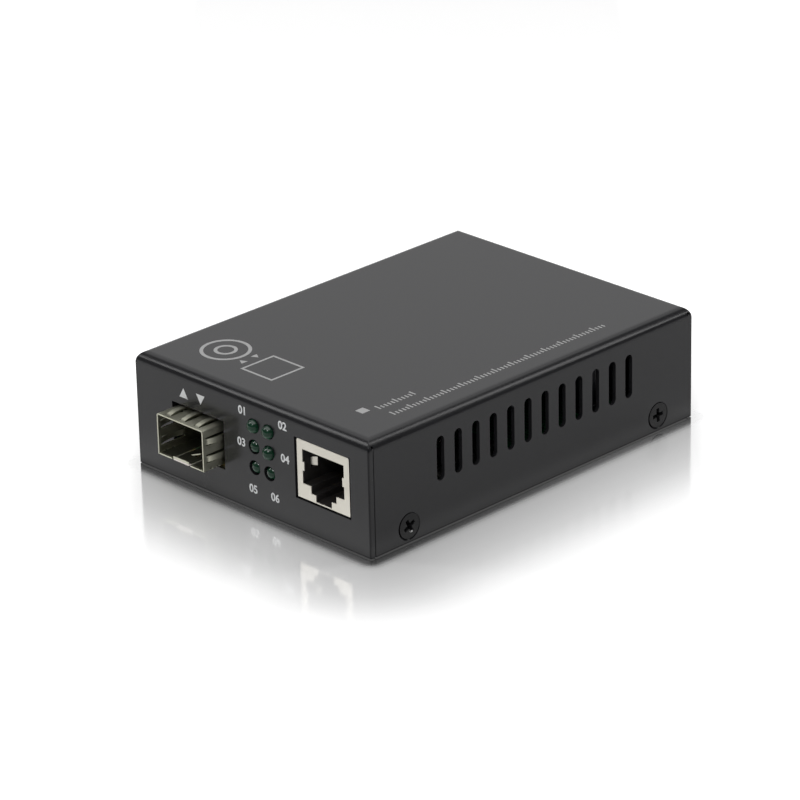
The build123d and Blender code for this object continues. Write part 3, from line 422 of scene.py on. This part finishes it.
lip_wide = add(nickel_silver, "ShaderNodeMath", {0: spot.outputs["X"], 1: LIP_MIDDLE, 2: LIP_REACH},
               operation="COMPARE")
lip = product(nickel_silver, lip_front.outputs["Value"], lip_low.outputs["Value"], lip_wide.outputs["Value"])
shade = add(nickel_silver, "ShaderNodeMixRGB",
            {"Fac": lip, "Color1": tone.outputs["Color"], "Color2": linear("#ebe2de")})
bare = add(nickel_silver, "ShaderNodeMapRange", {"Value": lip, "To Min": 1.0, "To Max": 0.15})
# Painted shade: the floor inside the cage, behind the lip, gets a darker tone
shape = add(nickel_silver, "ShaderNodeNewGeometry")
facing = add(nickel_silver, "ShaderNodeSeparateXYZ", {"Vector": shape.outputs["True Normal"]})
faces_up = add(nickel_silver, "ShaderNodeMath", {0: facing.outputs["Z"], 1: FACE_UP}, operation="GREATER_THAN")
behind_lip = add(nickel_silver, "ShaderNodeMath", {0: spot.outputs["Y"], 1: LIP_BACK}, operation="GREATER_THAN")
low_down = add(nickel_silver, "ShaderNodeMath", {0: spot.outputs["Z"], 1: FLOOR_TOP}, operation="LESS_THAN")
painted_shade_inside = product(nickel_silver, faces_up.outputs["Value"], behind_lip.outputs["Value"], low_down.outputs["Value"])
floor_shade_tone = add(nickel_silver, "ShaderNodeMixRGB",
              {"Fac": painted_shade_inside, "Color1": shade.outputs["Color"], "Color2": linear("#7c7c70")})
metal = add(nickel_silver, "ShaderNodeBsdfPrincipled",
            {"Base Color": floor_shade_tone.outputs["Color"], "Metallic": bare.outputs["Result"],
             "Roughness": gloss.outputs["Result"], "Normal": bumps.outputs["Normal"]})
add(nickel_silver, "ShaderNodeOutputMaterial", {"Surface": metal.outputs["BSDF"]})
finished("sfp_cage", "folded_module_cage", SHEET_EDGE, nickel_silver, "cage_metal")
finished("sfp_cage_floor", "module_cage_floor", SHEET_EDGE, nickel_silver, "cage_metal")

# Indicator lamps: 3 mm lamps cast in green-tinted epoxy, off, so that they look
# a deep bottle green, with painted light: a paler green towards the bottom. The
# dome is as smooth as its mould; its reflection is made strong at its top and
# weak below, so that the lights' highlights show only at the top.
LAMP_BODY = 1.5 * MM       # radius of the lens and of its dome
LAMP_FLANGE = 1.0 * MM
LAMP_TURNS = 48            # steps round the lens
DOME_STEPS = 12            # steps from the dome's middle to its edge
LENS_SWIRL = 3 * MM
green_resin = new_material("cast_green_epoxy")
place = add(green_resin, "ShaderNodeTexCoord")
swirl = add(green_resin, "ShaderNodeTexNoise", {"Vector": place.outputs["Object"], "Scale": 1 / LENS_SWIRL})
tone = two_tones(green_resin, swirl.outputs["Fac"], "#0a2c1d", "#103a27")
within = add(green_resin, "ShaderNodeSeparateXYZ", {"Vector": place.outputs["Generated"]})
# Painted light: the lower part of each lens gets a paler green
low_part = add(green_resin, "ShaderNodeMapRange",
               {"Value": within.outputs["Z"], "From Min": 0.5, "From Max": 0.1}, interpolation_type="SMOOTHSTEP")
painted_light_below = add(green_resin, "ShaderNodeMixRGB",
               {"Fac": low_part.outputs["Result"], "Color1": tone.outputs["Color"], "Color2": linear("#1f5039")})
# Reflection made strong at the dome's top and weak below it, which places its highlights
reflection_by_height = add(green_resin, "ShaderNodeMapRange",
              {"Value": within.outputs["Z"], "From Min": 0.5, "From Max": 0.75, "To Min": 0.2, "To Max": 0.7})
resin = add(green_resin, "ShaderNodeBsdfPrincipled",
            {"Base Color": painted_light_below.outputs["Color"], "Roughness": 0.03, "IOR": 1.54,
             "Specular IOR Level": reflection_by_height.outputs["Result"]})
add(green_resin, "ShaderNodeOutputMaterial", {"Surface": resin.outputs["BSDF"]})


# A lens turned round a line along Y through (x, z): its profile is pairs of
# distance along Y and radius
def turned_lens(name, profile, x, z, node):
    mesh = bmesh.new()
    corners = [mesh.verts.new((x + radius, y, z)) for y, radius in profile]
    edges = [mesh.edges.new(pair) for pair in zip(corners, corners[1:])]
    bmesh.ops.spin(mesh, geom=corners + edges, cent=(x, 0, z), axis=(0, 1, 0), angle=2 * math.pi,
                   steps=LAMP_TURNS)
    bmesh.ops.remove_doubles(mesh, verts=mesh.verts, dist=WELD_DISTANCE)
    bmesh.ops.recalc_face_normals(mesh, faces=mesh.faces)
    data = bpy.data.meshes.new(name)
    mesh.to_mesh(data)
    mesh.free()
    data.shade_smooth()
    data.set_sharp_from_angle(angle=SHARP_FROM)
    place_piece(name, data, green_resin, "green_lens", node)


for number in range(1, 7):
    node = f"indicator_lamp_{number}"
    low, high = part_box(node)
    flange_radius = (high.x - low.x) / 2
    flange_front = high.y - LAMP_FLANGE
    angles = [math.radians(90 / DOME_STEPS * step) for step in range(DOME_STEPS + 1)]
    dome = [(low.y + LAMP_BODY * (1 - math.cos(a)), LAMP_BODY * math.sin(a)) for a in angles]
    root = [(flange_front, LAMP_BODY), (flange_front, flange_radius), (high.y, flange_radius), (high.y, 0.0)]
    turned_lens(f"lamp_lens_{number}", dome + root, (low.x + high.x) / 2, (low.z + high.z) / 2, node)

# Cover: the same coated sheet, with both sides and both ends folded down from the
# top. The coat is thickest on its bends; along the punched edges at the corners its
# colour is painted darker, as shade. Inside each corner seam the coat has run
# together, flush at the rear corners.
SEAM = (47.61 * MM, 47.99 * MM)     # from the box's middle, along it
SEAM_TOP = 24.4 * MM
SEAM_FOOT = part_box("cover")[0].z + 0.1 * MM
SEAM_DEPTH = 0.9 * MM
SEAM_SINKS = {-1: 0.12 * MM, 1: 0.01 * MM}     # below the side's face, at the front and at the rear
finished("cover", "folded_cover", COAT_EDGE, coated_steel, "housing_coat", steps=3)
mesh = bmesh.new()
size = (SEAM_DEPTH, SEAM[1] - SEAM[0], SEAM_TOP - SEAM_FOOT)
for across, along in ((-1, -1), (1, -1), (-1, 1), (1, 1)):
    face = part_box("cover")[1].x - SEAM_SINKS[along]
    middle = Vector((across * (face - size[0] / 2), along * (SEAM[0] + SEAM[1]) / 2, SEAM_FOOT + size[2] / 2))
    bmesh.ops.create_cube(mesh, size=1.0, matrix=Matrix.Translation(middle) @ Matrix.Diagonal((*size, 1.0)))
data = bpy.data.meshes.new("coat_in_seams")
mesh.to_mesh(data)
mesh.free()
place_piece("coat_in_seams", data, coated_steel, "housing_coat")

# Side screws: M3 countersunk steel, blackened, with a punched cross recess. One
# of them has a painted highlight, a bright spot at a corner of its cross.
OXIDE_PATCHES = 0.35 * MM
GLINT_PLACE = (-37.35 * MM, 2.7 * MM)     # along the box and up
GLINT_REACH = 0.5 * MM
HEAD_SHIFT = 0.17 * MM     # each head sits off the middle of its countersink
HEAD_DEPTH = 1.0 * MM
black_oxide = new_material("blackened_steel")
place = add(black_oxide, "ShaderNodeTexCoord")
patches = add(black_oxide, "ShaderNodeTexNoise", {"Vector": place.outputs["Object"], "Scale": 1 / OXIDE_PATCHES})
tone = two_tones(black_oxide, patches.outputs["Fac"], "#161617", "#222223")
# Painted highlight: a bright spot beside the front screw's cross
from_corner = add(black_oxide, "ShaderNodeVectorMath",
                  {0: place.outputs["Object"], 1: (cad_box[1][0], *GLINT_PLACE)}, operation="DISTANCE")
painted_highlight_spot = add(black_oxide, "ShaderNodeMath", {0: from_corner.outputs["Value"], 1: GLINT_REACH}, operation="LESS_THAN")
shade = add(black_oxide, "ShaderNodeMixRGB",
            {"Fac": painted_highlight_spot.outputs["Value"], "Color1": tone.outputs["Color"], "Color2": linear("#d0d0d0")})
metal = add(black_oxide, "ShaderNodeBsdfPrincipled",
            {"Base Color": shade.outputs["Color"], "Roughness": 0.22, "IOR": 1.5, "Specular IOR Level": 0.2})
add(black_oxide, "ShaderNodeOutputMaterial", {"Surface": metal.outputs["BSDF"]})
screws = finished("side_screws", "countersunk_screws", 0.1 * MM, black_oxide, "black_screw")
for corner in screws.data.vertices:
    if abs(corner.co.x) > cad_box[1][0] - HEAD_DEPTH:
        corner.co.y += HEAD_SHIFT

# Front print: plain numbers for the lamps and two plain arrows over the module
# cage, screen printed in white ink, which dries as a thin satin film.
INK_FILM = 0.006 * MM
SCREEN_MESH = 0.12 * MM    # spacing of the marks that the screen's threads leave
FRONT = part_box("cover")[0].y
FONT_SIZE = 2.5375 * MM    # gives numbers 1.75 mm high
FONT_WEIGHT = 0.07 * MM
# Each number with the middle of its place on the front in mm: across and up
LAMP_NUMBERS = [("01", -2.0, 22.1), ("02", 10.1, 22.2), ("03", -2.6, 14.8), ("04", 10.6, 14.9),
                ("05", 0.6, 5.0), ("06", 7.2, 5.0)]
ARROWS_MIDDLE = (-17.6 * MM, 20.7 * MM)
ARROW_HEIGHT = 2.2 * MM
ARROW_WIDTH = 2.64 * MM
ARROW_ASIDE = 2.64 * MM    # from the middle of the pair to the middle of each arrow


# Screen ink, its colour a little uneven where the threads of the screen were
def screen_ink(name, low, high):
    made = new_material(name)
    place = add(made, "ShaderNodeTexCoord")
    threads = add(made, "ShaderNodeTexNoise", {"Vector": place.outputs["Object"], "Scale": 1 / SCREEN_MESH})
    tone = two_tones(made, threads.outputs["Fac"], low, high)
    ink = add(made, "ShaderNodeBsdfPrincipled", {"Base Color": tone.outputs["Color"], "Roughness": 0.5})
    add(made, "ShaderNodeOutputMaterial", {"Surface": ink.outputs["BSDF"]})
    return made


# A printed mark as a thin film: closed outlines in the printed plane
def printed(name, outlines, plane, material):
    mesh = bmesh.new()
    for outline in outlines:
        face = mesh.faces.new([mesh.verts.new((u, v, 0)) for u, v in outline])
        made = bmesh.ops.extrude_face_region(mesh, geom=[face])["geom"]
        moved = [item for item in made if isinstance(item, bmesh.types.BMVert)]
        bmesh.ops.translate(mesh, verts=moved, vec=(0, 0, INK_FILM))
    bmesh.ops.recalc_face_normals(mesh, faces=mesh.faces)
    mesh.transform(plane)
    data = bpy.data.meshes.new(name)
    mesh.to_mesh(data)
    mesh.free()
    place_piece(name, data, material, "housing_coat")


white_ink = screen_ink("white_screen_ink", "#dcdedf", "#ecedee")
front_plane = Matrix.Translation((0, FRONT, 0)) @ Matrix.Rotation(math.radians(90), 4, "X")
for number, across, up in LAMP_NUMBERS:
    glyph = bpy.data.curves.new("glyph", "FONT")
    glyph.body = number
    glyph.align_x = "CENTER"
    glyph.align_y = "CENTER"
    glyph.size = FONT_SIZE
    glyph.offset = FONT_WEIGHT
    glyph.extrude = INK_FILM / 2
    maker = bpy.data.objects.new("glyph", glyph)
    data = bpy.data.meshes.new_from_object(maker)
    data.name = "lamp_number_" + number
    data.transform(front_plane @ Matrix.Translation((across * MM, up * MM, INK_FILM / 2)))
    bpy.data.objects.remove(maker)
    place_piece("lamp_number_" + number, data, white_ink, "housing_coat")
arrows = []
for side, up in ((-1, 1), (1, -1)):
    middle = ARROWS_MIDDLE[0] + side * ARROW_ASIDE
    foot = ARROWS_MIDDLE[1] - up * ARROW_HEIGHT / 2
    tip = ARROWS_MIDDLE[1] + up * ARROW_HEIGHT / 2
    arrows.append([(middle - ARROW_WIDTH / 2, foot), (middle + ARROW_WIDTH / 2, foot), (middle, tip)])
printed("module_arrows", arrows, front_plane, white_ink)

# Top print: a plain diagram of a ring, two arrows and a square for the two
# kinds of port, and a scale of ticks along the right edge, screen printed in a
# pale grey ink. Places are from the top's front left corner.
STROKE = 0.8 * MM
RING = (14.0 * MM, 13.5 * MM)
RING_RADII = ((5.2 * MM, 48), (2.2 * MM, 32))     # each with its number of sides
SQUARE = (28.5 * MM, 13.5 * MM)
SQUARE_RADIUS = 6.4 * MM
DIAGRAM_ARROWS = [[(22.2 * MM, 15.4 * MM), (20.6 * MM, 16.3 * MM), (20.6 * MM, 14.5 * MM)],
                  [(20.4 * MM, 11.6 * MM), (22.0 * MM, 12.5 * MM), (22.0 * MM, 10.7 * MM)]]
EDGE_MARK = [(57.2 * MM, 9.7 * MM), (59.4 * MM, 9.7 * MM), (59.4 * MM, 11.9 * MM), (57.2 * MM, 11.9 * MM)]
# In mm: each row of ticks by its place across and its number of ticks, where
# its first tick is along the edge, and the ticks' lengths and width
TICK_ROWS = ((64.7, 64), (60.4, 11))
FIRST_TICK = 14
LONG_TICK, SHORT_TICK = 1.9, 1.2
TICK_WIDTH = 0.4
TICKS_TO_A_LONG_ONE = 5
top_plane = Matrix.Translation((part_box("cover")[0].x, FRONT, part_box("cover")[1].z))
grey_ink = screen_ink("grey_screen_ink", "#9c9c9c", "#a8a8a8")


# The outline of a straight bar between two points
def bar(start, end, width):
    start, end = Vector(start), Vector(end)
    out = (end - start).normalized().orthogonal() * width / 2
    return [tuple(start + out), tuple(end + out), tuple(end - out), tuple(start - out)]


# The outlines of a ring or a square loop, one for each of its sides
def loop(middle, radius, sides, turn=0.0):
    inner, outer = radius - STROKE / 2, radius + STROKE / 2
    angles = [turn + 2 * math.pi * step / sides for step in range(sides + 1)]
    made = []
    for a, b in zip(angles, angles[1:]):
        made.append([(middle[0] + r * math.cos(t), middle[1] + r * math.sin(t))
                     for r, t in ((inner, a), (outer, a), (outer, b), (inner, b))])
    return made


diagram = loop(SQUARE, SQUARE_RADIUS, 4, math.pi / 4) + DIAGRAM_ARROWS
for radius, sides in RING_RADII:
    diagram += loop(RING, radius, sides)
printed("port_diagram", diagram, top_plane, grey_ink)
ticks = [EDGE_MARK]
for across, count in TICK_ROWS:
    for step in range(count):
        length = SHORT_TICK if step % TICKS_TO_A_LONG_ONE else LONG_TICK
        along = (FIRST_TICK + step) * MM
        ticks.append(bar((across * MM, along), ((across - length) * MM, along), TICK_WIDTH * MM))
printed("edge_scale", ticks, top_plane, grey_ink)

# Table: a polished sheet of white acrylic. Its polish shows the object, less
# and less with distance from it, and a painted shadow makes the sheet dark where
# the box stands on it. To the left and right of the object it stays clean and white.
TABLE_REACH = 4.0
TABLE_LIFT = 0.35          # how much the lit sheet glows of itself
MIRROR_REACH = 40 * MM
# How much of the table's colour is mirror, by share of the mirror's reach
MIRROR_SHARES = [(0.0, 0.94), (0.012, 0.94), (0.045, 0.92), (0.075, 0.69), (0.1, 0.55), (0.13, 0.51), (0.21, 0.49),
                 (0.32, 0.45), (0.42, 0.39), (0.53, 0.28), (0.64, 0.16), (0.74, 0.07), (0.85, 0.0)]
CONTACT_SHADOW_REACH = 3 * MM
# The sheet's glow as the object's own gloss shows it: how strong beside the box
# and from GLOW_REACH on, and how much of it is left to the right of the box
GLOW_REACH = 20 * MM
GLOW_GAINS = (2.2, 0.7)
GLOW_ASIDE = 0.2
ASIDE_FROM = cad_box[1][0]
ASIDE_TO = 1.2 * cad_box[1][0]
# The extra glow that keeps the sheet white to the left and right, along the
# wall: how much, where it starts and where it is whole, from the middle
ALONG_WALL = (0.699, 0.715, 0.0)
SIDE_LIFT = 0.17
SIDE_FROM = 59.5 * MM
SIDE_TO = 63.5 * MM
floor_mesh = bpy.data.meshes.new("white_table")
corners = [(-TABLE_REACH, -TABLE_REACH, 0), (TABLE_REACH, -TABLE_REACH, 0), (TABLE_REACH, TABLE_REACH, 0),
           (-TABLE_REACH, TABLE_REACH, 0)]
floor_mesh.from_pydata(corners, [], [(0, 1, 2, 3)])
floor = bpy.data.objects.new("white_table", floor_mesh)
bpy.context.scene.collection.objects.link(floor)
table = new_material("white_acrylic_sheet")
place = add(table, "ShaderNodeTexCoord")
from_middle = add(table, "ShaderNodeVectorMath", {0: place.outputs["Object"]}, operation="ABSOLUTE")
half = (cad_box[1][0], cad_box[1][1], 0.0)
beyond = add(table, "ShaderNodeVectorMath", {0: from_middle.outputs["Vector"], 1: half}, operation="SUBTRACT")
outside = add(table, "ShaderNodeVectorMath", {0: beyond.outputs["Vector"], 1: (0, 0, 0)}, operation="MAXIMUM")
distance = add(table, "ShaderNodeVectorMath", {0: outside.outputs["Vector"]}, operation="LENGTH")
reach = add(table, "ShaderNodeMath", {0: distance.outputs["Value"], 1: MIRROR_REACH}, operation="DIVIDE")
polish = add(table, "ShaderNodeValToRGB", {"Fac": reach.outputs["Value"]})
stops = polish.color_ramp.elements
while len(stops) < len(MIRROR_SHARES):
    stops.new(0.5)
for stop, (share_of_reach, share) in zip(stops, MIRROR_SHARES):
    stop.position = share_of_reach
    stop.color = (share, share, share, 1.0)
# Painted shadow: the sheet's colour goes dark within a few mm of the box
painted_contact_shadow = add(table, "ShaderNodeMapRange",
              {"Value": distance.outputs["Value"], "From Max": CONTACT_SHADOW_REACH, "To Min": 1.0, "To Max": 0.0})
whiteness = add(table, "ShaderNodeMixRGB",
                {"Fac": painted_contact_shadow.outputs["Result"], "Color1": linear("#f2f2f2"), "Color2": linear("#404040")})
paper = add(table, "ShaderNodeBsdfDiffuse", {"Color": whiteness.outputs["Color"]})
mirror = add(table, "ShaderNodeBsdfGlossy", {"Color": linear("#ffffff"), "Roughness": 0.1})
ray = add(table, "ShaderNodeLightPath")
mirrored = product(table, polish.outputs["Color"], ray.outputs["Is Camera Ray"])
surface = add(table, "ShaderNodeMixShader", {"Fac": mirrored, 1: paper.outputs["BSDF"], 2: mirror.outputs["BSDF"]})
clear = add(table, "ShaderNodeMath", {0: ray.outputs["Is Camera Ray"], 1: mirrored}, operation="SUBTRACT")
near = add(table, "ShaderNodeMapRange",
           {"Value": distance.outputs["Value"], "From Max": GLOW_REACH, "To Min": GLOW_GAINS[0],
            "To Max": GLOW_GAINS[1]})
spot = add(table, "ShaderNodeSeparateXYZ", {"Vector": place.outputs["Object"]})
aside = add(table, "ShaderNodeMapRange",
            {"Value": spot.outputs["X"], "From Min": ASIDE_FROM, "From Max": ASIDE_TO, "To Min": 1.0,
             "To Max": GLOW_ASIDE})
gain = product(table, near.outputs["Result"], aside.outputs["Result"])
seen = add(table, "ShaderNodeMath", {0: ray.outputs["Is Glossy Ray"], 1: gain, 2: clear.outputs["Value"]},
           operation="MULTIPLY_ADD")
through = add(table, "ShaderNodeMath", {0: seen.outputs["Value"], 1: ray.outputs["Is Transmission Ray"]},
              operation="MAXIMUM")
along_wall = add(table, "ShaderNodeVectorMath", {0: place.outputs["Object"], 1: ALONG_WALL},
                 operation="DOT_PRODUCT")
off_middle = add(table, "ShaderNodeMath", {0: along_wall.outputs["Value"]}, operation="ABSOLUTE")
beside = add(table, "ShaderNodeMapRange",
             {"Value": off_middle.outputs["Value"], "From Min": SIDE_FROM, "From Max": SIDE_TO, "To Max": SIDE_LIFT})
extra = product(table, beside.outputs["Result"], ray.outputs["Is Camera Ray"])
lift = add(table, "ShaderNodeMath", {0: through.outputs["Value"], 1: TABLE_LIFT, 2: extra}, operation="MULTIPLY_ADD")
glow = add(table, "ShaderNodeEmission", {"Color": linear("#ffffff"), "Strength": lift.outputs["Value"]})
whole = add(table, "ShaderNodeAddShader", {0: surface.outputs["Shader"], 1: glow.outputs["Emission"]})
add(table, "ShaderNodeOutputMaterial", {"Surface": whole.outputs["Shader"]})
floor_mesh.materials.append(table)

# Room: dim all round, with a pale wall behind the table that is lit brighter
# towards its top. It shows in the object's gloss only; the picture's background
# is plain white.
WALL_DIRECTION = (-0.715, 0.699, 0.0)
WALL_FOOT_LEVEL = 0.4
WALL_TOP_LEVEL = 1.25
ROOM_LEVEL = 0.1
# Degrees off the wall's middle, and up, at which it starts and is whole
WALL_WIDTH = (54, 38)
WALL_HEIGHT = (66, 54)
world = bpy.data.worlds.new("studio")
bpy.context.scene.world = world
world.use_nodes = True
world.node_tree.nodes.clear()
toward = add(world, "ShaderNodeTexCoord")
level_way = add(world, "ShaderNodeVectorMath", {0: toward.outputs["Generated"], 1: (1, 1, 0)}, operation="MULTIPLY")
heading = add(world, "ShaderNodeVectorMath", {0: level_way.outputs["Vector"]}, operation="NORMALIZE")
facing_wall = add(world, "ShaderNodeVectorMath", {0: heading.outputs["Vector"], 1: WALL_DIRECTION},
                  operation="DOT_PRODUCT")
in_width = add(world, "ShaderNodeMapRange",
               {"Value": facing_wall.outputs["Value"], "From Min": math.cos(math.radians(WALL_WIDTH[0])),
                "From Max": math.cos(math.radians(WALL_WIDTH[1]))}, interpolation_type="SMOOTHSTEP")
steep = add(world, "ShaderNodeSeparateXYZ", {"Vector": toward.outputs["Generated"]})
in_height = add(world, "ShaderNodeMapRange",
                {"Value": steep.outputs["Z"], "From Min": math.sin(math.radians(WALL_HEIGHT[0])),
                 "From Max": math.sin(math.radians(WALL_HEIGHT[1]))}, interpolation_type="SMOOTHSTEP")
wash = add(world, "ShaderNodeMapRange",
           {"Value": steep.outputs["Z"], "To Min": WALL_FOOT_LEVEL, "To Max": WALL_TOP_LEVEL})
in_wall = product(world, in_width.outputs["Result"], in_height.outputs["Result"])
wall = add(world, "ShaderNodeMath", {0: in_wall, 1: wash.outputs["Result"], 2: ROOM_LEVEL}, operation="MULTIPLY_ADD")
ray = add(world, "ShaderNodeLightPath")
level = add(world, "ShaderNodeMath", {0: wall.outputs["Value"], 1: ray.outputs["Is Camera Ray"]}, operation="MAXIMUM")
room = add(world, "ShaderNodeBackground", {"Color": linear("#ffffff"), "Strength": level.outputs["Value"]})
add(world, "ShaderNodeOutputWorld", {"Surface": room.outputs["Background"]})


# Softboxes: a wide one overhead, a tall one on stands to the left and another to
# the right, and a small strong one in front. Each is a rectangle of light that
# faces the object from a direction in degrees; its other sizes are in metres.
def softbox(name, azimuth, elevation, distance, width, height, level):
    lamp = bpy.data.lights.new(name, "AREA")
    lamp.shape = "RECTANGLE"
    lamp.size = width
    lamp.size_y = height
    lamp.energy = level * math.pi * width * height
    made = bpy.data.objects.new(name, lamp)
    a, e = math.radians(azimuth), math.radians(elevation)
    away = Vector((math.cos(e) * math.cos(a), math.cos(e) * math.sin(a), math.sin(e)))
    made.location = away * distance
    made.rotation_euler = away.to_track_quat("Z", "Y").to_euler()
    bpy.context.scene.collection.objects.link(made)


softbox("overhead", -60, 82, 1.0, 1.2, 1.2, 1.2)
softbox("left_softbox", -138.5, 40, 0.5, 0.08, 0.26, 4.9)
softbox("right_softbox", 49, 44, 0.34, 0.05, 0.28, 4.1)
softbox("front_box", -66, 42, 1.2, 0.18, 0.18, 18.0)

# Camera: a long lens at the place and the angle that the fit to the box's edges
# in the photograph gives.
CAMERA_PLACE = Vector((582.862, -573.424, 367.468)) * MM
CAMERA_RIGHT = Vector((0.704455, 0.709436, -0.021049))
CAMERA_UP = Vector((-0.271171, 0.296438, 0.915746))
camera = bpy.data.objects.new("camera", bpy.data.cameras.new("camera"))
camera.data.lens = 186.26
camera.data.sensor_width = 36.0
camera.data.clip_end = 20.0
camera.matrix_world = Matrix.Translation(CAMERA_PLACE) @ Matrix(
    (CAMERA_RIGHT, CAMERA_UP, CAMERA_RIGHT.cross(CAMERA_UP))).transposed().to_4x4()
bpy.context.scene.collection.objects.link(camera)
bpy.context.scene.camera = camera
bpy.context.scene.view_settings.view_transform = "Standard"
